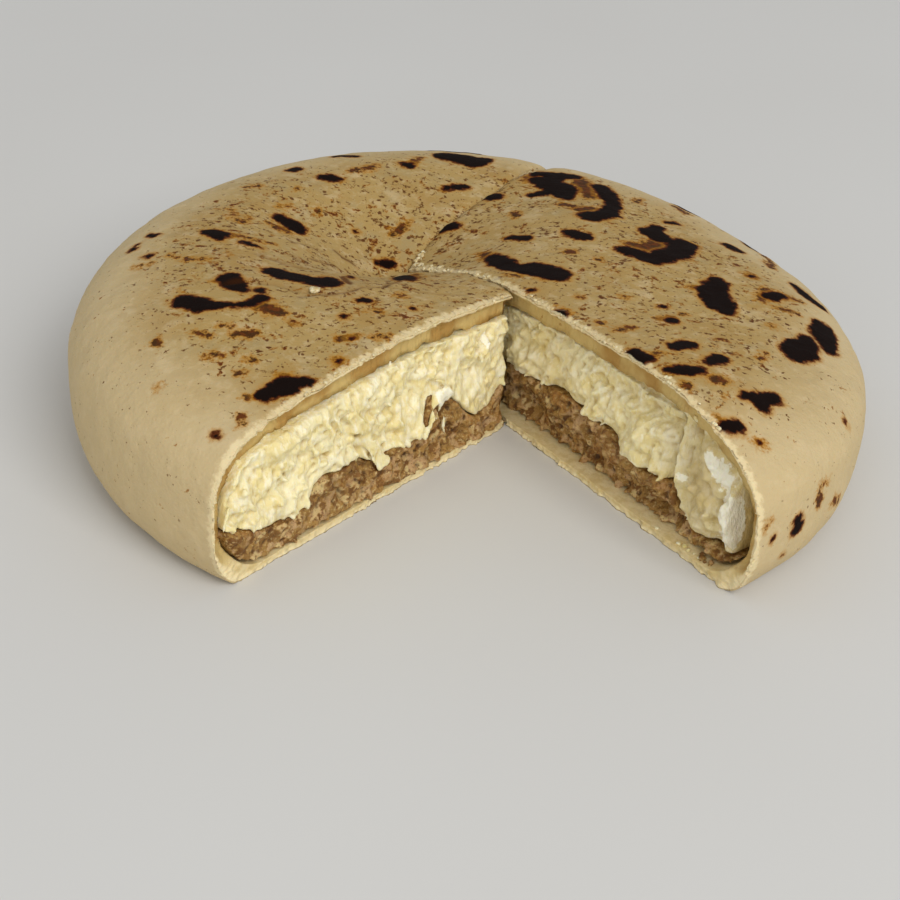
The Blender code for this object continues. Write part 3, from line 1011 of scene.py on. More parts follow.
@dataclass(frozen=True)
class Fold:
    """A line in the skin where a flap laps over: a groove with a raised side, and painted shade
    along the line.
    """

    path: tuple[tuple[float, float], ...]
    depth: float
    width: float
    step: float          # how far the left-hand side stands up, or the right-hand one if below 0
    fall: float = 3.0    # how far away the raised side has sunk back
    # how dark the painted shade along the line is
    dark: float = 1.0

    def shape(self, points: Array) -> tuple[Array, Array]:
        """How far the skin moves at points, and how dark the painted shade along the line is there.

        The painted shade is darkest on the brow of the raised side, where it is seen from in front.
        """
        across, walked = path_distance(points, self.path)
        across = across + 0.35 * wobble(points, 2.4, 2, 31.0)
        ends = smooth_step(0, 0.18, walked) * smooth_step(1, 0.82, walked)
        groove = np.exp(-((across / self.width) ** 2)) * ends
        over = across * np.sign(self.step)
        rise = smooth_step(-0.3, 0.5, over) * np.exp(-np.abs(over) / self.fall)
        rise = rise * ends * np.abs(self.step)
        # painted shade along the line, on the brow of the raised side
        line = np.exp(-(((over - 0.1) / (0.25 + self.width)) ** 2)) * ends
        return rise - self.depth * groove, np.minimum(self.dark * line, 1)


FOLDS_LARGE = (
    Fold(((-33, -19), (-28, -16), (-24.8, -15.3), (-21.6, -13.3), (-19.8, -10.2), (-16.2, -9.8),
          (-15.3, -6.8), (-13.2, -2), (-8.5, 3.6), (-4.6, 8.6), (-1, 12)),
         0.4, 0.5, -0.5, 5.0, 1.2),
    Fold(((-47, -15), (-41, -12.5), (-36, -12.5), (-31, -15), (-27, -14.6)),
         0.4, 0.6, 0.5, dark=0.3),
    Fold(((-16, -10), (-11, -10), (-6, -10.6), (0, -9)), 0.3, 0.4, -0.3, dark=0.5),
    Fold(((-42, 2), (-35, -1), (-28, -2)), 0.3, 0.4, 0.2, dark=0.5),
    Fold(((-36, 6), (-31, 3), (-27, 3)), 0.25, 0.4, 0.2, dark=0.5),
    Fold(((-32, 7), (-29, 9.2), (-26.6, 12), (-25, 11)), 0.25, 0.34, -0.35, dark=1.3),
    Fold(((-28, 19.4), (-25.8, 18.2), (-22.6, 18)), 0.2, 0.3, -0.25, dark=1.3),
    Fold(((-24.6, -3), (-23.4, -6), (-22.2, -9.4)), 0.2, 0.3, 0.25, dark=1.4),
    Fold(((-36, 12), (-33, 14.6), (-29.6, 15)), 0.2, 0.3, -0.3, dark=1.0),
)


@dataclass
class Crust:
    """The shell of dough around one cut piece."""

    name: str
    node: str
    blades: tuple[Blade, ...]
    holds: Callable[[Array], Array]
    marks: tuple[Mark, ...]
    folds: tuple[Fold, ...] = ()
    subdivisions: int = 7
    rim_steps: int = 7
    slice_reach: float = 4.0       # how near the blade faces lie that are sliced
    closed_margin: float = 1.5     # how much further away a closed cut counts
    held_from: float = 6.0         # how far in from a cut vertices begin to be held beside it
    held_within: float = 1.0       # and how far in they are held fully
    on_cut: float = 0.02           # how near a cut a vertex belongs to its face
    near_cut: float = 2.2          # how near a cut triangles are halved once, twice or three times
    nearer_cut: float = 1.0
    nearest_cut: float = 0.28
    near_mark: float = 0.7
    near_fold: float = 2.2
    fray: float = 0.36             # how ragged the torn edge is
    lip_reach: float = 1.1         # how far over the skin its pale lip goes
    droop: float = 0.5             # how far the rim hangs down at a cut
    droop_reach: float = 0.8
    lining_depth: float = 2.4      # how thick the pale dough is above the moist lining
    lining_recess: float = 2.0     # how far the lining stands back from the cut
    lining_hang: float = 1.5       # and how far it hangs down
    lining_reach: float = 2.5
    notch: tuple[float, float] = (41.0, 50.0)      # stretch of the closed cut that gapes at the rim
    closing: float = 0.36          # how far the sides of a closed cut press together
    rounding: float = 0.75         # how far its edges are rounded down
    hidden_from: float = 4.0       # how far from the cuts hidden skin is joined into larger faces
    flat_within: float = 0.12      # the angle below which faces are joined
    underside: float = 0.25        # the height below which the outer skin is hidden

    def build(self) -> bpy.types.Object:
        """Make the shell.

        Returns:
            The object, with what its finish reads in attributes.
        """
        bm = bmesh.new()
        bmesh.ops.create_icosphere(bm, subdivisions=self.subdivisions, radius=1)
        ball = bm.verts.layers.float_vector.new("ball")
        for vertex in bm.verts:
            vertex[ball] = vertex.co
        self.lay(bm, ball)
        self.cut(bm)
        self.add_detail(bm, ball)
        way_in = self.thicken(bm, ball)
        return make_object(self.name, self.sculpt(bm, way_in))

    def lay(self, bm: bmesh.types.BMesh, ball: bmesh.types.BMLayerItem) -> None:
        """Move each vertex to the outer skin, by its place on the ball."""
        set_coordinates(bm, ROUND.skin(on_ball(bm.verts, ball)))

    def cut(self, bm: bmesh.types.BMesh) -> None:
        """Slice the skin along the blades and drop what lies outside the piece."""
        for blade in self.blades:
            places = coordinates(bm)
            close = (np.abs(blade.beyond(places)) < self.slice_reach) & blade.covers(places)
            bm.verts.index_update()
            faces = [f for f in bm.faces if any(close[v.index] for v in f.verts)]
            edges = dict.fromkeys(edge for face in faces for edge in face.edges)
            verts = dict.fromkeys(vertex for face in faces for vertex in face.verts)
            point = blade.knife.place(0, blade.shift, 0)
            bmesh.ops.bisect_plane(bm, geom=[*verts, *edges, *faces], dist=1e-4,
                                   plane_co=point, plane_no=blade.normal())
        middles = np.array([face.calc_center_median()[:] for face in bm.faces])
        kept = self.holds(middles)
        lost = [face for face, keep in zip(bm.faces, kept) if not keep]
        bmesh.ops.delete(bm, geom=lost, context="FACES")
        bmesh.ops.triangulate(bm, faces=[face for face in bm.faces if len(face.verts) > 3])

    def gap(self, points: Array) -> Array:
        """Distance of points from the nearest cut, with a margin added if the cut is closed."""
        nearest = np.full(len(points), FAR)
        for blade in self.blades:
            distance = np.where(blade.covers(points), np.abs(blade.beyond(points)), FAR)
            nearest = np.minimum(nearest, distance + (0 if blade.shows else self.closed_margin))
        return nearest

    def add_detail(self, bm: bmesh.types.BMesh, ball: bmesh.types.BMLayerItem) -> None:
        """Halve the triangles near marks and folds, and again near the cuts, and lay them out."""
        rounds = (self.near_cut, self.near_mark), (self.nearer_cut, 0.0), (self.nearest_cut, 0.0)
        for cut_reach, mark_reach in rounds:
            places = coordinates(bm)
            chosen = self.gap(places) < cut_reach
            if cut_reach > self.nearest_cut:
                for fold in self.folds:
                    close = np.abs(path_distance(places, fold.path)[0]) < self.near_fold
                    chosen |= close & (places[:, 2] > ROUND.widest)
            if mark_reach:
                for heat in Heat:
                    chosen |= nearest_mark(self.marks, heat, places) < mark_reach
            refine(bm, chosen)
        before = coordinates(bm)
        self.lay(bm, ball)
        set_coordinates(bm, self.held(before, coordinates(bm)))

    def held(self, before: Array, after: Array) -> Array:
        """Places that were moved, put back to the distance they had from the cuts."""
        places = after.copy()
        for blade in self.blades:
            was = blade.beyond(before)
            share = smooth_step(-self.held_from, -self.held_within, was) * blade.covers(before)
            places += (share * (was - blade.beyond(places)))[:, None] * blade.normal()
        return places

    def thicken(self, bm: bmesh.types.BMesh, ball: bmesh.types.BMLayerItem) -> Array:
        """Give the skin its thickness, with a finely divided rim at the cuts.

        Args:
            bm: the outer skin, open along the cuts.
            ball: the layer of places on the ball.

        Returns:
            For each vertex, its share of the way from the outer skin in.
        """
        way_in = bm.verts.layers.float.new("way_in")
        outer = list(bm.verts)
        at_edge = [vertex for vertex in outer if vertex.is_boundary]
        corners = [(edge.link_loops[0].vert, edge.link_loops[0].link_loop_next.vert)
                   for edge in bm.edges if edge.is_boundary]
        faces = [list(face.verts) for face in bm.faces]
        twin = {vertex: bm.verts.new(vertex.co) for vertex in outer}
        for face in faces:
            bm.faces.new([twin[vertex] for vertex in reversed(face)])
        for first, last in corners:
            bm.faces.new((last, first, twin[first], twin[last]))
        bm.normal_update()
        unit = on_ball(outer, ball)
        inside = self.held(ROUND.skin(unit), ROUND.skin(unit, inner=True))
        for vertex, place in zip(twin.values(), inside.tolist()):
            vertex.co = place
            vertex[way_in] = 1.0
        self.thin_out(bm, way_in)
        rim = [bm.edges.get((vertex, twin[vertex])) for vertex in at_edge]
        for vertex in at_edge:
            self.pull_to_cut(vertex, twin[vertex])
        bmesh.ops.subdivide_edges(bm, edges=rim, cuts=self.rim_steps, use_grid_fill=True)
        bmesh.ops.recalc_face_normals(bm, faces=bm.faces)
        bm.normal_update()
        return np.array([vertex[way_in] for vertex in bm.verts])

    def thin_out(self, bm: bmesh.types.BMesh, way_in: bmesh.types.BMLayerItem) -> None:
        """Join faces where the filling or the table hides the skin.

        Args:
            bm: the shell.
            way_in: the layer that is 1 on the inner skin.
        """
        places = coordinates(bm)
        inner = np.array([vertex[way_in] for vertex in bm.verts]) > 0.5
        away = self.gap(places) > self.hidden_from
        chosen = away & (inner | (places[:, 2] < self.underside))
        hidden = [vertex for vertex, far in zip(bm.verts, chosen) if far]
        among = set(hidden)
        edges = [edge for edge in bm.edges if among.issuperset(edge.verts)]
        bmesh.ops.dissolve_limit(bm, angle_limit=self.flat_within, verts=hidden, edges=edges)
        bmesh.ops.triangulate(bm, faces=[face for face in bm.faces if len(face.verts) > 4])

    def pull_to_cut(self, outer: bmesh.types.BMVert, inner: bmesh.types.BMVert) -> None:
        """Move an inner vertex of the rim into the same cut faces as its outer one."""
        place = np.array(inner.co[:])
        at_outer = np.array([outer.co[:]])
        for blade in self.blades:
            if abs(blade.beyond(at_outer)[0]) < self.on_cut and blade.covers(at_outer)[0]:
                place = place - blade.beyond(place[None, :])[0] * blade.normal()
        inner.co = place.tolist()

    def sculpt(self, bm: bmesh.types.BMesh, way_in: Array) -> bpy.types.Mesh:
        """Shape the fine relief of the skin and the torn edge, and store what the finish reads.

        Args:
            bm: the closed shell.
            way_in: for each vertex, its share of the way from the outer skin in.

        Returns:
            The mesh.
        """
        places = coordinates(bm)
        normals = np.array([vertex.normal[:] for vertex in bm.verts])
        outer = way_in < 0.01
        upper = smooth_step(3.0, 8.0, places[:, 2])
        depth = way_in * (ROUND.floor + (ROUND.roof - ROUND.floor) * upper)
        broad = wobble(places, 2.6, 2)
        fine = wobble(places, 1.1, 1, 7.0)
        char = nearest_mark(self.marks, Heat.BLACK, places) + 0.6 * broad + 0.35 * fine
        toast = nearest_mark(self.marks, Heat.BROWN, places) + 0.55 * broad + 0.4 * fine
        gap = self.gap(places)
        rise, crease = self.waves(places, char)
        unevenly = 1 + 0.5 * wobble(places, 3.5, 2, 17.0)
        torn, shut = self.torn_edge(places, way_in, depth, unevenly, broad)
        move = np.where(outer, rise, 0.0)[:, None] * normals + torn
        move[:, 2] -= self.sag(places, way_in, gap) * unevenly
        placed = places + move
        placed[:, 2] = np.maximum(placed[:, 2], 0)
        set_coordinates(bm, placed)
        bmesh.ops.triangulate(bm, faces=[face for face in bm.faces if len(face.verts) > 3])
        mesh = finished(bm, self.name)
        lip = np.exp(-((gap / self.lip_reach) ** 2))
        for name, values in {
            "char": np.where(outer, char, FAR_FROM_MARKS),
            "toast": np.where(outer, toast, FAR_FROM_MARKS),
            "depth": depth,
            "cut": np.where(outer, 0.0, 1.0),
            "lip": np.where(outer & (places[:, 2] > 3), lip, 0),
            # painted shade along the folds' lines
            "crease": np.where(outer, crease, 0),
            "shut": shut,
            "crown": self.crown(places),
        }.items():
            set_attribute(mesh, name, values)
        return mesh

    def waves(self, places: Array, char: Array) -> tuple[Array, Array]:
        """The uneven skin: low waves, raised scorched patches and folds.

        Args:
            places: the vertices.
            char: their distances from the nearest black patch, less than 0 inside it.

        Returns:
            How far each vertex stands out, and how dark the painted shade along a fold's line is
            there.
        """
        rise = 0.3 * wobble(places, 13, 2, 3.0) + 0.14 * wobble(places, 4.5, 2, 9.0)
        rise += 0.12 * np.clip(-char, 0, 0.8)
        rise *= smooth_step(0, 2.5, places[:, 2])
        crease = np.zeros(len(places))
        for fold in self.folds:
            higher, dark = fold.shape(places)
            rise = rise + higher
            crease = np.maximum(crease, dark)
        return rise, crease

    def sag(self, places: Array, way_in: Array, gap: Array) -> Array:
        """How far the upper rim, and the roof of the space inside, hang down near the cuts."""
        rim = smooth_step(11, 20, places[:, 2]) * np.exp(-((gap / self.droop_reach) ** 2))
        roof = smooth_step(0.75, 1, way_in) * smooth_step(16, 22, places[:, 2])
        roof = roof * np.exp(-((gap / self.lining_reach) ** 2))
        return self.droop * rim * (1 - way_in) + self.lining_hang * roof

    def torn_edge(self, places: Array, way_in: Array, depth: Array, unevenly: Array,
                  broad: Array) -> tuple[Array, Array]:
        """The ragged edge of the open cuts, and the rounded one of the closed cuts.

        Args:
            places: the vertices.
            way_in: their share of the way from the outer skin in.
            depth: how deep they lie below the outer skin.
            unevenly: a factor around 1 that wanders along the skin.
            broad: smooth noise for the edge of the lining.

        Returns:
            How far each vertex moves, and whether it lies in a closed cut.
        """
        height = places[:, 2]
        upper = smooth_step(3.0, 8.0, height)
        bent = places + 1.3 * wobble(places, 3.1, 2, 21.0)[:, None]
        crumbly = 0.4 + 1.2 * smooth_step(-0.25, 0.35, wobble(places, 6.5, 2, 23.0))
        jag = self.fray * (1.2 * wobble(places, 2.3, 3, 4.0) + crumbly * wobble(bent, 0.95, 3, 8.0))
        lined = smooth_step(0, self.lining_depth, depth - 0.5 + broad * 0.25) * (way_in > 0) * upper
        move = np.zeros_like(places)
        shut = np.zeros(len(places))
        for blade in self.blades:
            beyond = np.abs(blade.beyond(places))
            reach = 3 * self.lining_recess
            here = ((beyond < reach) & blade.covers(places)).astype(float)
            soft = np.exp(-beyond / 0.6) * (1 - 0.6 * smooth_step(0.3, 1.5, depth))
            if blade.shows:
                inward = self.lining_recess * lined * np.clip(1 - beyond / reach, 0, 1)
                move += (here * (jag * soft - inward))[:, None] * blade.normal()
            else:
                notch = smooth_step(self.notch[0], self.notch[1], blade.knife.along(places))
                notch *= blade.knife is BACK_CUT
                opening = 1.1 * notch - self.closing + 0.22 * np.abs(wobble(places, 4, 2, 2.0))
                back_off = here * soft * opening * (height > 12)
                move -= back_off[:, None] * blade.normal()
                sink = self.rounding * (1 + 1.4 * notch) * np.exp(-beyond / (0.8 + 0.8 * notch))
                move[:, 2] -= here * sink * unevenly * (1 - way_in) * (height > 14)
                shut = np.maximum(shut, (beyond < 0.3) & blade.covers(places))
        return move, shut

    def crown(self, places: Array) -> Array:
        """1 on the top of the bread and 0 at its sides, with a wandering border."""
        outline = ROUND.outline(np.arctan2(places[:, 1], places[:, 0]))
        share = np.hypot(places[:, 0], places[:, 1]) / outline + 0.05 * wobble(places, 18, 2, 5.0)
        return smooth_step(0.95, 0.7, share)


def holds_large(points: Array) -> Array:
    """Whether points lie in the large piece."""
    behind = (RIGHT_CUT.off(points) < 0) | (BACK_CUT.off(points) > 0)
    return (LEFT_CUT.off(points) < 0) & behind


def holds_quarter(points: Array) -> Array:
    """Whether points lie in the quarter."""
    return (RIGHT_CUT.off(points) > KERF) & (BACK_CUT.off(points) < -KERF)


def length_between(knife: Knife, other: Knife) -> float:
    """Distance along a knife's line to the place that another starts from."""
    return float(knife.along(np.array([other.x, other.y, 0.0])))


# ---------------------------------------------------------------------------------------------
# Filling
# ---------------------------------------------------------------------------------------------


@dataclass(frozen=True)
class GrainKind:
    """One kind of lump or shred that breaks up the cut face of a filling."""

    spacing: float                      # how far apart they lie
    radius: tuple[float, float]         # smallest and largest
    length: tuple[float, float]         # longest axis as a share of the radius
    flatness: float                     # thickness as a share of the radius
    out: tuple[float, float]            # how far its middle stands out, in radii
    share: float = 1.0                  # how many of the places are taken
    turn: float = 0.0                   # angle that the long axes tend to in the face, degrees
    spread: float = 180.0               # and how far they stray from it


@dataclass(frozen=True)
class Pit:
    """A place where the cut face is torn inwards, or swells out if its depth is below 0."""

    along: float
    height: float
    reach_along: float
    reach_height: float
    depth: float


@dataclass
class Filling:
    """One layer of filling, whose cut face is broken up into lumps and grains."""

    name: str
    node: str
    slot: str
    blade: Blade
    kinds: tuple[GrainKind, ...]
    pits: tuple[Pit, ...] = ()
    strands: tuple[tuple[tuple[float, float, float, float], ...], ...] = ()
    seed: int = 1
    start: float = -6.0            # the stretch of the cut along which the filling is broken up
    end: float = 85.0
    depth: float = 6.0             # how far behind the cut it is broken up
    overlap: float = 0.6           # how far that layer runs into the plain rest
    voxel: float = 0.3             # width of its faces
    lifts: tuple[Pit, ...] = ()    # where the face is pushed up, or down where below 0
    slides: tuple[Pit, ...] = ()   # where it is pushed along the cut
    pale_and_highlight: tuple[Pit, ...] = ()    # where it is pale torn curd with painted highlight
    dull_and_shade: tuple[Pit, ...] = ()     # where painted shade darkens it
    flush: float = 0.8             # how far anything may stand out of the cut
    block_front: float = 20.0      # how far the box that divides the filling stands out of the cut
    block_height: float = 60.0
    probe: float = 10.0            # how far outside the cut the search for its face begins
    probe_depth: float = 4.0       # and how far behind the cut it ends
    lowest: float = 0.5            # heights between which lumps and shreds are laid
    highest: float = 32.0

    def relief(self, places: Array) -> Array:
        """How far the surface stands out at places."""
        raise NotImplementedError

    def pattern(self, places: Array) -> Array:
        """A number from 0 to 1 that differs from lump to lump."""
        raise NotImplementedError

    def build(self) -> bpy.types.Object:
        """Make the layer.

        Returns:
            The object, with what its finish reads in attributes.
        """
        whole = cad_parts[self.node].data.copy()
        whole.transform(Matrix.Scale(1 / UNIT, 4))
        bm = bmesh.new()
        bm.from_mesh(whole)
        bmesh.ops.remove_doubles(bm, verts=bm.verts, dist=1e-3)
        bm.to_mesh(whole)
        bm.free()
        near = combine(whole, self.block(self.depth), "INTERSECT")
        far = combine(whole, self.block(self.depth - self.overlap), "DIFFERENCE")
        fine = melt(self.weather(self.break_up(near)), self.voxel)
        result = combine(fine, far, "UNION")
        self.record(result)
        return make_object(self.name, result)

    def block(self, depth: float) -> bpy.types.Mesh:
        """A box along the cut that takes in the filling down to a depth behind it."""
        length = self.end - self.start
        bm = bmesh.new()
        bmesh.ops.create_cube(bm, size=1)
        inward = -self.blade.normal()
        middle = self.blade.knife.place((self.start + self.end) / 2, self.blade.shift,
                                        self.block_height / 3)
        middle = middle + inward * (depth - self.block_front) / 2
        basis = Matrix((self.blade.knife.ahead(), inward, (0, 0, 1))).transposed().to_4x4()
        sides = Matrix.Diagonal((length, depth + self.block_front, self.block_height, 1))
        basis = Matrix.Translation(middle) @ basis @ sides
        bmesh.ops.transform(bm, matrix=basis, verts=bm.verts)
        bmesh.ops.recalc_face_normals(bm, faces=bm.faces)
        return finished(bm, "block")

    def break_up(self, near: bpy.types.Mesh) -> bpy.types.Mesh:
        """Press lumps and shreds into the cut face and melt them together.

        Args:
            near: the plain stretch of filling behind the cut.

        Returns:
            The melted mesh.
        """
        rng = np.random.default_rng(self.seed)
        bm = bmesh.new()
        bm.from_mesh(near)
        tree = BVHTree.FromBMesh(bm)
        outward = Vector(self.blade.normal())
        for kind in self.kinds:
            for along in np.arange(self.start, self.end, kind.spacing):
                for height in np.arange(self.lowest, self.highest, kind.spacing):
                    jitter = rng.uniform(-0.6, 0.6, 2) * kind.spacing
                    draws = rng.random(6)
                    if draws[0] > kind.share:
                        continue
                    place = self.blade.knife.place(along + jitter[0], self.blade.shift,
                                                   height + jitter[1])
                    hit = tree.ray_cast(Vector(place) + outward * self.probe, -outward,
                                        self.probe + self.probe_depth)[0]
                    if hit is None:
                        continue
                    radius = kind.radius[0] + (kind.radius[1] - kind.radius[0]) * draws[1]
                    stretch = kind.length[0] + (kind.length[1] - kind.length[0]) * draws[2]
                    stand = kind.out[0] + (kind.out[1] - kind.out[0]) * draws[3]
                    turn = radians(kind.turn + kind.spread * (draws[4] - 0.5))
                    middle = hit + outward * radius * stand
                    axes = Vector((radius * stretch, radius, radius * kind.flatness))
                    self.add_lump(bm, middle, axes, turn, (draws[5] - 0.5) * 0.9)
        for strand in self.strands:
            self.add_strand(bm, strand)
        return melt(finished(bm, "lumps"), self.voxel)

    def add_lump(self, bm: bmesh.types.BMesh, middle: Vector, axes: Vector, turn: float,
                 tilt: float) -> None:
        """Add one lump: a ball stretched along the face, turned in it and tilted out of it."""
        basis = Matrix((self.blade.knife.ahead(), (0, 0, 1), self.blade.normal())).transposed()
        turned = Matrix.Rotation(turn, 3, "Z") @ Matrix.Rotation(tilt, 3, "Y")
        shape = basis @ turned @ Matrix.Diagonal(axes)
        matrix = Matrix.Translation(middle) @ shape.to_4x4()
        bmesh.ops.create_icosphere(bm, subdivisions=2, radius=1, matrix=matrix)

    def add_strand(self, bm: bmesh.types.BMesh, strand: Sequence[Sequence[float]]) -> None:
        """Add a shred as a chain of lumps through (along, height, out, radius) places."""
        for first, last in zip(strand, strand[1:]):
            steps = max(2, int(np.hypot(last[0] - first[0], last[1] - first[1]) / (0.7 * first[3])))
            for share in np.linspace(0, 1, steps):
                along, height, out, radius = (a + (b - a) * share for a, b in zip(first, last))
                shift = self.blade.shift + self.blade.outward * out
                middle = Vector(self.blade.knife.place(along, shift, height))
                axes = Vector((radius * 1.15, radius, radius * 0.9))
                self.add_lump(bm, middle, axes, share * 5, 0)

    def weather(self, mesh: bpy.types.Mesh) -> bpy.types.Mesh:
        """Roughen the face, tear the pits into it, and flatten it, less so towards the back."""
        places, normals = vertex_arrays(mesh)
        shown = smooth_step(-self.depth + 1.0, -self.depth + 2.5, self.blade.beyond(places))
        facing = np.clip(normals @ self.blade.normal(), 0, 1)
        height = self.relief(places) * shown
        places = places + (0.2 * height)[:, None] * normals
        push = height * facing - self.field(self.pits, places) * shown
        lift = self.field(self.lifts, places) * shown
        slide = self.field(self.slides, places) * shown
        beyond = self.blade.beyond(places)
        push += np.where(beyond > 0, self.flush * np.tanh(beyond / self.flush) - beyond, 0)
        places = places + push[:, None] * self.blade.normal()
        places = places + slide[:, None] * self.blade.knife.ahead()
        places[:, 2] += lift
        mesh.vertices.foreach_set("co", places.astype(np.float32).ravel())
        mesh.update()
        return mesh

    def field(self, pits: Sequence[Pit], places: Array) -> Array:
        """The sum of the pits' depths at places."""
        along = self.blade.knife.along(places)
        total = np.zeros(len(places))
        for pit in pits:
            spread = ((along - pit.along) / pit.reach_along) ** 2
            spread += ((places[:, 2] - pit.height) / pit.reach_height) ** 2
            total += pit.depth * np.exp(-0.5 * spread)
        return total

    def record(self, mesh: bpy.types.Mesh) -> None:
        """Store each vertex's tint, how deep in a crevice it lies for the painted shade there,
        where pale torn curd takes a painted highlight, and where painted shade darkens it.
        """
        places, normals = vertex_arrays(mesh)
        set_attribute(mesh, "tint", self.pattern(places))
        set_attribute(mesh, "crevice_shade", crevices(mesh, places, normals))
        # deep behind the cut: painted shade, and no painted highlight
        deep = smooth_step(-4.2, -6.2, self.blade.beyond(places))
        set_attribute(mesh, "pale_and_highlight", np.clip(self.field(self.pale_and_highlight, places) - deep, 0, 1))
        set_attribute(mesh, "dull_and_shade", np.clip(self.field(self.dull_and_shade, places) + deep, 0, 1))


@dataclass
class CurdLayer(Filling):
    """Soft curd cheese: broad soft lumps, torn along fine fibres."""

    lump: float = 5.0
    lump_height: float = 1.3
    fibre: float = 0.32
    rough: float = 0.3

    def relief(self, places: Array) -> Array:
        """How far the surface stands out at places."""
        bent = places + 1.6 * wobble(places, 4.0, 2, 41.0)[:, None]
        broad, _ = pebbles(bent, self.lump, 3.0 + self.seed)
        small, _ = pebbles(bent, 2.1, 9.0 + self.seed)
        along = self.blade.knife.along(places)
        beyond = self.blade.beyond(places)
        lean = 0.75 * wobble(places, 16, 1, 51.0 + self.seed) + 0.35
        across = along * np.cos(lean) + places[:, 2] * np.sin(lean)
        down = -along * np.sin(lean) + places[:, 2] * np.cos(lean)
        strands = np.stack([across / 0.55, down / 2.6, beyond / 0.8], axis=1)
        ridges = 1 - 2 * np.abs(wobble(strands, 1.0, 2, 61.0))
        result = self.lump_height * (broad - 0.6) + 0.5 * (small - 0.6)
        result += self.fibre * ridges * smooth_step(-0.3, 0.3, wobble(places, 5, 1, 71.0))
        return result + self.rough * wobble(places, 1.5, 3, 81.0)

    def pattern(self, places: Array) -> Array:
        """A number from 0 to 1 that differs from lump to lump."""
        bent = places + 1.0 * wobble(places, 3.0, 2, 43.0)[:, None]
        return 0.6 * pebbles(bent, 3.2, 5.0)[1] + 0.4 * (0.5 + 0.5 * wobble(places, 2.0, 2, 45.0))


@dataclass
class MinceLayer(Filling):
    """Cooked mince: clumps of small crumbs, cut flush."""

    grain: float = 1.5
    grain_height: float = 0.6
    clump: float = 3.6
    clump_height: float = 0.8
    flush: float = 0.35

    def bent(self, places: Array) -> Array:
        """Places moved about a little, so that the crumbs are uneven."""
        return places + 0.8 * wobble(places, 1.6, 2, 41.0)[:, None]

    def relief(self, places: Array) -> Array:
        """How far the surface stands out at places."""
        bent = self.bent(places)
        grains, _ = pebbles(bent, self.grain, 3.0 + self.seed)
        clumps, _ = pebbles(bent, self.clump, 13.0 + self.seed)
        result = self.grain_height * (grains - 0.7) + self.clump_height * (clumps - 0.6)
        return result + 0.3 * wobble(places, 0.9, 3, 81.0)

    def pattern(self, places: Array) -> Array:
        """A number from 0 to 1 that differs from grain to grain."""
        return pebbles(self.bent(places), self.grain, 3.0 + self.seed)[1]


SHREDDED = (
    GrainKind(2.4, (0.5, 0.9), (1.2, 2.6), 0.7, (-0.2, 0.5), 0.35, 70, 90),
    GrainKind(1.6, (0.28, 0.42), (1.8, 5.0), 0.9, (0.0, 1.4), 0.35, 65, 70),
)
CRUMBLED = (
    GrainKind(1.9, (0.5, 0.9), (1.0, 1.6), 0.9, (-0.1, 0.5), 0.5),
    GrainKind(1.1, (0.28, 0.5), (1.0, 1.8), 0.9, (0.1, 1.2), 0.5),
)
LIFTS_LARGE = (
    Pit(35, 27.5, 40, 2.4, -1.0),
    Pit(0.8, 11, 1.6, 4, 2.0),
    Pit(4.7, 8, 2.2, 4, -3.0),
    Pit(9.6, 10, 3.4, 4.6, -4.4),
    Pit(20.2, 12, 2.0, 5.0, 2.6),
    Pit(26, 11, 2.4, 4, -3.4),
    Pit(36.5, 9.5, 2.2, 3.5, -1.4),
    Pit(43, 12, 2.2, 3.5, 1.8),
    Pit(50, 9.5, 2.6, 3.5, 4.0),
)
TEARS_LARGE = (
    Pit(21.6, 15.6, 1.4, 2.0, 2.4),
    Pit(17, 12, 2.0, 2.0, 1.4),
    Pit(39.8, 12.1, 0.8, 1.8, 2.6),
    Pit(31, 11.5, 1.6, 1.6, 1.2),
    Pit(12.5, 19, 2.5, 3.0, 0.8),
    Pit(27.5, 19.5, 1.2, 3.5, 1.3),
    Pit(44, 17.5, 1.6, 2.6, 0.9),
    Pit(5, 12, 2.4, 3.0, 0.5),
    Pit(64, 23.4, 7.0, 1.6, -0.8),
    Pit(52, 22, 6.0, 2.0, -0.7),
    Pit(58, 15, 3.0, 2.2, 0.7),
    Pit(70, 14, 2.0, 3.0, 0.6),
)
SHREDS_LARGE = (
    ((42.7, 20.5, 0.2, 1.1), (39.6, 16.4, 0.7, 1.2), (37.8, 13.0, 0.9, 1.1),
     (35.8, 9.6, 0.9, 1.3)),
    ((36.6, 10.6, 0.8, 1.0), (34.6, 9.2, 0.7, 0.9)),
    ((22.4, 10.2, 0.3, 0.5), (20.6, 12.6, 0.6, 0.7), (18.6, 14.2, 0.7, 0.8),
     (16.0, 14.6, 0.5, 0.7)),
    ((20.6, 9.0, 0.5, 0.4), (19.2, 11.6, 0.7, 0.6), (17.4, 13.2, 0.6, 0.6)),
    ((19.8, 17.0, 0.4, 0.6), (18.2, 15.8, 0.5, 0.6), (16.6, 15.0, 0.4, 0.5)),
    ((17.8, 9.0, 0.3, 0.6), (18.6, 7.2, 0.5, 0.5), (18.2, 6.2, 0.3, 0.4)),
    ((24.8, 12.4, 0.3, 0.9), (23.8, 11.0, 0.6, 0.7)),
    ((30.4, 11.4, 0.3, 0.8), (29.4, 10.2, 0.5, 0.7)),
    ((9.5, 22.5, 0.4, 0.4), (8.4, 19.0, 0.6, 0.4), (8.8, 16.5, 0.3, 0.3)),
    ((7.4, 20.0, 0.6, 0.4), (5.4, 22.8, 0.6, 0.3)),
    ((46.6, 21.8, 0.4, 0.5), (45.4, 18.4, 0.7, 0.5), (45.9, 15.4, 0.4, 0.4)),
    ((52.3, 18.0, 0.3, 0.5), (51.0, 14.6, 0.6, 0.5), (51.4, 12.4, 0.3, 0.4)),
    ((72.0, 16.0, 0.3, 0.4), (73.6, 12.5, 0.4, 0.4)),
)
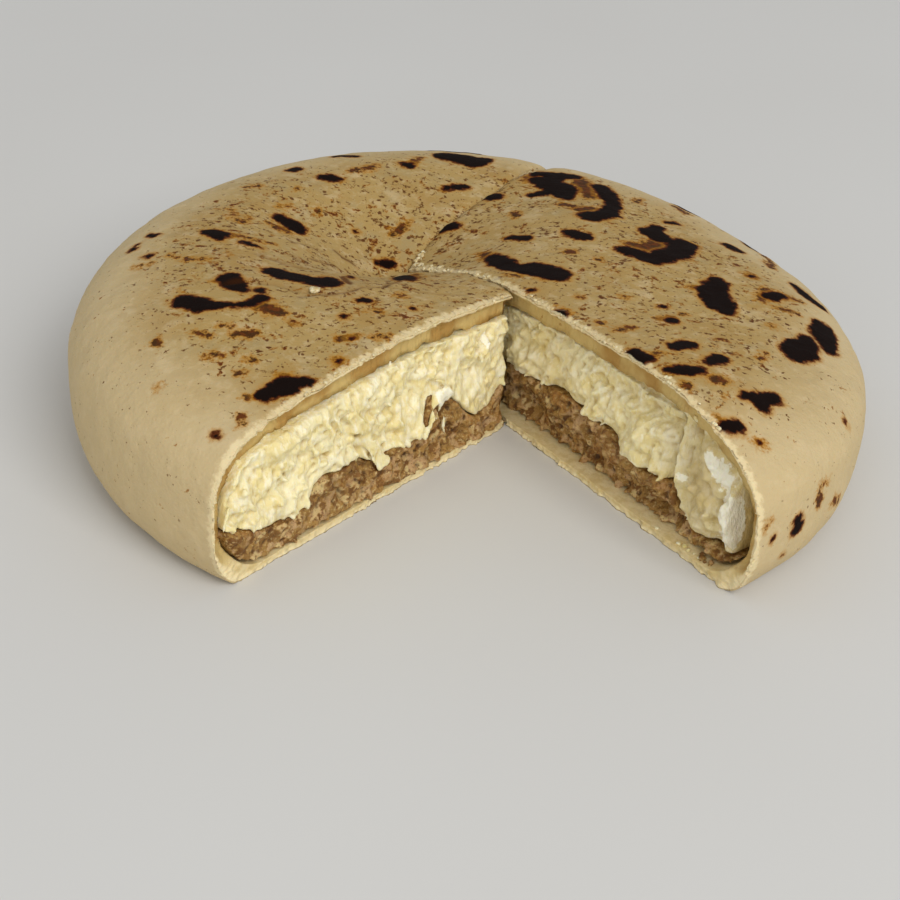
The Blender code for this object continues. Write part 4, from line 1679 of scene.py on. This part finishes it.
# pale torn curd with painted highlights
PALE_AND_HIGHLIGHT_LARGE = (
    Pit(18.6, 14.6, 1.6, 1.6, 1.0),
    Pit(6.4, 21.4, 1.0, 1.6, 0.8),
    Pit(64, 24.6, 7.0, 1.2, 0.2),
)
HOLES_LARGE = (
    Pit(39.4, 10.4, 1.0, 1.6, 2.4),
    Pit(36, 1.8, 34, 1.8, -0.9),
    Pit(14, 4.6, 1.8, 1.2, 1.2),
    Pit(28, 6.5, 1.4, 1.4, 1.2),
    Pit(62, 3.4, 3.0, 1.2, 1.0),
)
LIFTS_QUARTER = (
    Pit(27, 25.5, 22, 3.0, -2.0),
    Pit(36, 25.5, 6.0, 3.0, -1.2),
    Pit(34, 11, 8, 4, -1.6),
    Pit(26.5, 12, 1.8, 3, 1.4),
)
TEARS_QUARTER = (
    Pit(8, 20, 6.0, 3.0, 0.9),
    Pit(18, 25, 9.0, 2.4, 1.6),
    Pit(33, 24, 7.0, 2.2, 1.8),
    Pit(24, 17, 3.0, 2.6, -0.9),
    Pit(33, 15, 3.5, 3.0, -0.9),
    Pit(40, 16, 3.5, 3.5, -1.0),
    Pit(28.5, 14, 1.2, 3.0, 1.0),
    Pit(12, 13, 3.0, 2.0, 1.0),
    Pit(43.6, 15, 1.5, 9.0, 2.2),
    Pit(43.0, 23, 2.2, 2.0, 1.2),
)
TEARS_LUMP = (
    Pit(46.5, 20, 1.6, 6.0, 1.4),
    Pit(46.8, 22.5, 1.2, 1.8, 2.4),
    Pit(47.0, 9, 1.4, 3.0, 1.2),
    Pit(65.2, 12, 1.9, 9.0, 5.0),
    Pit(62, 22, 3.0, 2.6, 2.4),
    Pit(59, 5, 5.0, 1.8, 2.0),
    Pit(60, 13, 2.2, 6.0, -0.9),
    Pit(52, 13, 2.6, 4.0, -0.5),
    Pit(56.4, 15, 1.0, 6.0, 0.9),
)
# pale torn curd with painted highlights along the lump's lit flank
PALE_AND_HIGHLIGHT_LUMP = (
    Pit(52.8, 21.6, 1.0, 0.8, 0.8),
    Pit(54.4, 20.2, 1.2, 1.1, 0.9),
    Pit(56.2, 18.2, 1.3, 1.3, 0.9),
    Pit(57.8, 15.6, 1.4, 1.5, 0.9),
    Pit(58.8, 13.0, 1.4, 1.5, 0.9),
    Pit(59.2, 10.4, 1.4, 1.5, 1.0),
    Pit(58.8, 7.8, 1.5, 1.2, 1.0),
    Pit(57.4, 6.0, 1.6, 0.9, 0.9),
    Pit(45.2, 5.8, 1.1, 1.2, 1.0),
    Pit(45.8, 12.8, 0.8, 0.7, 0.9),
)
SLIDES_LUMP = (
    Pit(66.5, 13, 4.0, 14, -5.0),
)
# painted shade where the lump's curd lies in shadow
SHADE_LUMP = (
    Pit(51.5, 15, 4.5, 8, 0.9),
    Pit(63.6, 13, 2.0, 12, 1.6),
)
# painted shade where the quarter's curd lies in shadow
SHADE_QUARTER = (
    Pit(6, 18, 6, 7, 0.25),
    Pit(43.5, 14, 2.2, 7, 0.5),
)
HOLES_QUARTER = (
    Pit(20, 3.5, 16, 2.4, 1.7),
    Pit(42.0, 4.2, 4.6, 1.2, 3.6),
    Pit(2, 6, 4.0, 3.0, 1.6),
    Pit(63.5, 9, 2.0, 2.6, 2.0),
)


def vertex_arrays(mesh: bpy.types.Mesh) -> tuple[Array, Array]:
    """The places and normals of a mesh's vertices, one to a row."""
    places = np.zeros(len(mesh.vertices) * 3, np.float32)
    mesh.vertices.foreach_get("co", places)
    normals = np.zeros(len(mesh.vertices) * 3, np.float32)
    mesh.vertex_normals.foreach_get("vector", normals)
    return places.reshape(-1, 3).astype(float), normals.reshape(-1, 3).astype(float)


def crevices(mesh: bpy.types.Mesh, places: Array, normals: Array, rounds: int = 3) -> Array:
    """How deep in a fold of the surface each vertex lies, from 0 to 1.

    Args:
        mesh: the mesh.
        places: its vertices.
        normals: their normals.
        rounds: how often the measure is spread to the neighbours.

    Returns:
        One number for each vertex.
    """
    ends = np.zeros(len(mesh.edges) * 2, np.int32)
    mesh.edges.foreach_get("vertices", ends)
    first, last = ends.reshape(-1, 2).T
    count = np.bincount(ends, minlength=len(places)).clip(1)

    def spread(values: Array) -> Array:
        """Each vertex's mean over its neighbours."""
        total = np.bincount(first, values[last], len(places))
        return (total + np.bincount(last, values[first], len(places))) / count

    middle = np.stack([spread(places[:, axis]) for axis in range(3)], axis=1)
    fold = np.einsum("ij,ij->i", middle - places, normals)
    for _ in range(rounds):
        fold = 0.4 * fold + 0.6 * spread(fold)
    return np.clip(fold / 0.05, 0, 1)


def combine(first: bpy.types.Mesh, last: bpy.types.Mesh, operation: str) -> bpy.types.Mesh:
    """Join or cut two closed meshes with a Boolean.

    Args:
        first: the mesh that is kept or cut.
        last: the mesh that is added or taken away.
        operation: UNION, DIFFERENCE or INTERSECT.

    Returns:
        A new mesh of triangles.
    """
    target = put_in_scene("target", first)
    tool = put_in_scene("tool", last)
    boolean = target.modifiers.new("join", "BOOLEAN")
    boolean.operation = operation
    boolean.solver = "MANIFOLD"
    boolean.object = tool
    return settle(target, (target, tool))


def melt(mesh: bpy.types.Mesh, voxel: float) -> bpy.types.Mesh:
    """Melt overlapping closed lumps into one skin of even small faces."""
    target = put_in_scene("melt", mesh)
    remesh = target.modifiers.new("melt", "REMESH")
    remesh.mode = "VOXEL"
    remesh.voxel_size = voxel
    return settle(target, (target,))


def settle(target: bpy.types.Object, helpers: Sequence[bpy.types.Object]) -> bpy.types.Mesh:
    """Take an object's finished mesh and remove the helper objects."""
    graph = bpy.context.evaluated_depsgraph_get()
    graph.update()
    result = bpy.data.meshes.new_from_object(target.evaluated_get(graph))
    for helper in helpers:
        bpy.data.objects.remove(helper)
    return result


# ---------------------------------------------------------------------------------------------
# Crumbs
# ---------------------------------------------------------------------------------------------


@dataclass(frozen=True)
class CrumbFinish:
    """Loose crumbs of torn dough: pale and dull."""

    pale: Colour = tone(228, 212, 170)
    golden: Colour = tone(200, 172, 116)

    def material(self) -> bpy.types.Material:
        """Build the material."""
        g = Graph("dough_crumb")
        colour = g.blend(g.fade(g.noise(0.9, 3), 0.4, 0.65), self.pale, self.golden)
        return g.finish(colour, 0.8, g.bump(g.noise(0.3, 3), 0.1), soft=0.15, specular=0.2)


@dataclass(frozen=True)
class Trail:
    """A strip on which crumbs lie, between two places in plan."""

    start: tuple[float, float]
    end: tuple[float, float]
    count: int
    radius: tuple[float, float]
    spread: float = 0.5                # how far to the sides they stray
    height: Optional[float] = None     # height of what they lie on, or on the skin if not given
    sunk: float = 0.2


@dataclass
class Crumbs:
    """Loose crumbs of one kind, joined into one piece."""

    name: str
    slot: str
    trails: tuple[Trail, ...]
    seed: int
    roughness: float = 0.22

    def build(self) -> bpy.types.Object:
        """Scatter the crumbs.

        Returns:
            The object, with a tint for each crumb.
        """
        rng = np.random.default_rng(self.seed)
        bm = bmesh.new()
        tint = bm.verts.layers.float.new("tint")
        for trail in self.trails:
            start, end = np.array(trail.start), np.array(trail.end)
            across = np.array([start[1] - end[1], end[0] - start[0]]) / np.hypot(*(end - start))
            for _ in range(trail.count):
                share, aside, size, turn, shade = rng.random(5)
                radius = trail.radius[0] + (trail.radius[1] - trail.radius[0]) * size ** 2
                x, y = start + (end - start) * share + across * trail.spread * (2 * aside - 1)
                ground = trail.height
                if ground is None:
                    ground = float(ROUND.dome(np.array(x), np.array(y)))
                middle = Vector((x, y, ground + radius * 0.5 - trail.sunk))
                matrix = Matrix.Translation(middle) @ Matrix.Rotation(turn * 2 * pi, 4, "Z")
                matrix = matrix @ Matrix.Diagonal((radius * 1.3, radius, radius * 0.8, 1))
                made = bmesh.ops.create_icosphere(bm, subdivisions=2, radius=1, matrix=matrix)
                for vertex in made["verts"]:
                    vertex[tint] = shade
                    vertex.co += Vector(rng.uniform(-1, 1, 3)) * radius * self.roughness
        return make_object(self.name, finished(bm, self.name))


def beside(knife: Knife, along: float, off: float) -> tuple[float, float]:
    """The place in plan at a distance along and to the left of a cut."""
    x, y, _ = knife.place(along, off, 0)
    return float(x), float(y)


DOUGH_TRAILS = (
    Trail(beside(LEFT_CUT, 2, -0.5), beside(LEFT_CUT, 58, -0.5), 46, (0.16, 0.4), 0.5, sunk=0.6),
    Trail(beside(RIGHT_CUT, 3, 1.3), beside(RIGHT_CUT, 56, 1.3), 52, (0.16, 0.4), 0.5, sunk=0.6),
    Trail(beside(RIGHT_CUT, -33, 1.9), beside(RIGHT_CUT, -25, 1.7), 60, (0.22, 0.6), 1.0, sunk=0.6),
    Trail(beside(RIGHT_CUT, -25, 1.4), beside(RIGHT_CUT, -4, 1.4), 44, (0.18, 0.4), 0.6, sunk=0.6),
    Trail(beside(BACK_CUT, 0.5, -1.8), beside(BACK_CUT, 5, -1.5), 16, (0.22, 0.5), 0.8, sunk=0.6),
    Trail((-28.9, -14.6), (-27.7, -14.3), 3, (0.5, 0.8), 0.2),
)
MINCE_TRAILS = (
    Trail(beside(RIGHT_CUT, 54, 2.2), beside(RIGHT_CUT, 63, 2.2), 16, (0.3, 0.8), 0.6, 1.7),
)
CURD_TRAILS = (
    Trail(beside(RIGHT_CUT, 42, 1.8), beside(RIGHT_CUT, 58, 1.9), 7, (0.25, 0.5), 0.5, 1.6),
)


# ---------------------------------------------------------------------------------------------
# Stage
# ---------------------------------------------------------------------------------------------


@dataclass(frozen=True)
class Studio:
    """Floor, soft light and the camera."""

    lens: float = 72.0
    aim: tuple[float, float, float] = (-0.0024, -0.03559, 0.013)
    distance: float = 0.31914
    elevation: float = 0.5702
    roll: float = 0.0492

    def camera(self) -> bpy.types.Object:
        """Place the camera."""
        data = bpy.data.cameras.new("view")
        data.lens = self.lens
        data.sensor_width = 36
        data.clip_start = 0.01
        camera = put_in_scene("view", data)
        forward = Vector((0, cos(self.elevation), -sin(self.elevation)))
        level = Vector((1, 0, 0))
        upright = level.cross(forward)
        right = level * cos(self.roll) + upright * sin(self.roll)
        up = upright * cos(self.roll) - level * sin(self.roll)
        place = Vector(self.aim) - forward * self.distance
        camera.matrix_world = Matrix((
            (right.x, up.x, -forward.x, place.x),
            (right.y, up.y, -forward.y, place.y),
            (right.z, up.z, -forward.z, place.z),
            (0, 0, 0, 1),
        ))
        bpy.context.scene.camera = camera
        return camera

    def lamp(self, name: str, azimuth: float, elevation: float, distance: float, size: float,
             power: float, colour: tuple[float, float, float] = (1, 1, 1)) -> None:
        """Add a square soft light that faces the bread."""
        data = bpy.data.lights.new(name, "AREA")
        data.size = size
        data.energy = power
        data.color = colour
        lamp = put_in_scene(name, data)
        flat = distance * cos(radians(elevation))
        lamp.location = (flat * cos(radians(azimuth)), flat * sin(radians(azimuth)),
                         distance * sin(radians(elevation)))
        direction = Vector((0, 0, 0.01)) - lamp.location
        lamp.rotation_euler = direction.to_track_quat("-Z", "Y").to_euler()

    def lights(self) -> None:
        """Light the bread from the front right, with pale light from all round."""
        world = bpy.data.worlds.new("pale room")
        world.use_nodes = True
        background = world.node_tree.nodes["Background"]
        background.inputs["Color"].default_value = (0.97, 0.98, 1.0, 1)
        background.inputs["Strength"].default_value = 0.56
        bpy.context.scene.world = world
        self.lamp("window", azimuth=-55, elevation=41, distance=1.6, size=0.9, power=13.6)
        self.lamp("fill", azimuth=-106, elevation=14, distance=1.6, size=0.8, power=4.2)
        bpy.context.scene.view_settings.view_transform = "Standard"

    def floor(self) -> bpy.types.Object:
        """Make the plain pale floor."""
        bm = bmesh.new()
        bmesh.ops.create_grid(bm, x_segments=1, y_segments=1, size=3.0)
        floor = put_in_scene("floor", finished(bm, "floor"))
        g = Graph("pale_floor")
        colour = g.blend(g.noise(160, 2), tone(214, 213, 209), tone(206, 204, 199))
        floor.data.materials.append(g.finish(colour, 0.6, specular=0.2))
        return floor


def place_in_frame(piece: bpy.types.Object, node: str,
                   material: bpy.types.Material) -> None:
    """Dress a piece, and let it stand for its solid if it has one.

    Args:
        piece: the finished piece.
        node: the solid that it replaces, or "" for a piece that is only a look.
        material: its finish.
    """
    piece.data.materials.clear()
    piece.data.materials.append(material)
    piece.data.polygons.foreach_set("material_index", [0] * len(piece.data.polygons))
    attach(piece, BODY)
    if node:
        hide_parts(node)
    LOG.info("%s: %d faces", piece.name, len(piece.data.polygons))


def crusts() -> tuple[Crust, Crust]:
    """The two shells of dough, each with the cuts that bound it."""
    to_back = length_between(RIGHT_CUT, BACK_CUT)
    large = Crust("crust_large", "dough_large", (
        Blade(LEFT_CUT, 0.0, 1, start=-0.5),
        Blade(RIGHT_CUT, 0.0, 1, start=to_back - 0.5, end=0.5, shows=False),
        Blade(BACK_CUT, 0.0, -1, start=-0.5, shows=False),
    ), holds_large, MARKS_LARGE, FOLDS_LARGE)
    quarter = Crust("crust_quarter", "dough_quarter", (
        Blade(RIGHT_CUT, KERF, -1, start=to_back - 2),
        Blade(BACK_CUT, -KERF, 1, start=-2, shows=False),
    ), holds_quarter, MARKS_QUARTER)
    return large, quarter


def fillings() -> tuple[Filling, ...]:
    """The layers of curd and mince, in the order in which they are built."""
    cut_large = Blade(LEFT_CUT, 0.0, 1)
    cut_quarter = Blade(RIGHT_CUT, KERF, -1)
    return (
        CurdLayer("curd_layer_large", "curd_large", "curd", cut_large, SHREDDED, seed=11,
                  pits=TEARS_LARGE, lifts=LIFTS_LARGE, strands=SHREDS_LARGE, pale_and_highlight=PALE_AND_HIGHLIGHT_LARGE),
        MinceLayer("mince_layer_large", "mince_large", "mince", cut_large, CRUMBLED, seed=12,
                   lifts=LIFTS_LARGE, pits=HOLES_LARGE),
        CurdLayer("curd_layer_quarter", "curd_quarter", "curd", cut_quarter, SHREDDED, seed=13,
                  pits=TEARS_QUARTER, lifts=LIFTS_QUARTER, dull_and_shade=SHADE_QUARTER, lump_height=1.7),
        CurdLayer("curd_lump_loose", "curd_lump", "curd", cut_quarter, SHREDDED[:1], seed=14,
                  depth=9.0, pits=TEARS_LUMP, slides=SLIDES_LUMP, pale_and_highlight=PALE_AND_HIGHLIGHT_LUMP,
                  dull_and_shade=SHADE_LUMP, lump_height=1.6, fibre=0.2),
        MinceLayer("mince_layer_quarter", "mince_quarter", "mince", cut_quarter, CRUMBLED,
                   seed=15, depth=9.0, pits=HOLES_QUARTER, lifts=LIFTS_QUARTER,
                   clump_height=1.4, grain_height=0.7),
    )


def main() -> None:
    """Build every piece, the stage and the lights."""
    logging.basicConfig(level=logging.INFO)
    studio = Studio()
    studio.camera()
    studio.lights()
    studio.floor()
    dough = DoughFinish().material()
    for crust in crusts():
        place_in_frame(crust.build(), crust.node, dough)
    curd = CurdFinish().material()
    mince = MinceFinish().material()
    for filling in fillings():
        place_in_frame(filling.build(), filling.node,
                       curd if filling.slot == "curd" else mince)
    for crumbs, material in (
        (Crumbs("crumbs_dough", "dough", DOUGH_TRAILS, 21), CrumbFinish().material()),
        (Crumbs("crumbs_mince", "mince", MINCE_TRAILS, 22), mince),
        (Crumbs("crumbs_curd", "curd", CURD_TRAILS, 23), curd),
    ):
        place_in_frame(crumbs.build(), "", material)


if __name__ == "__main__":
    main()
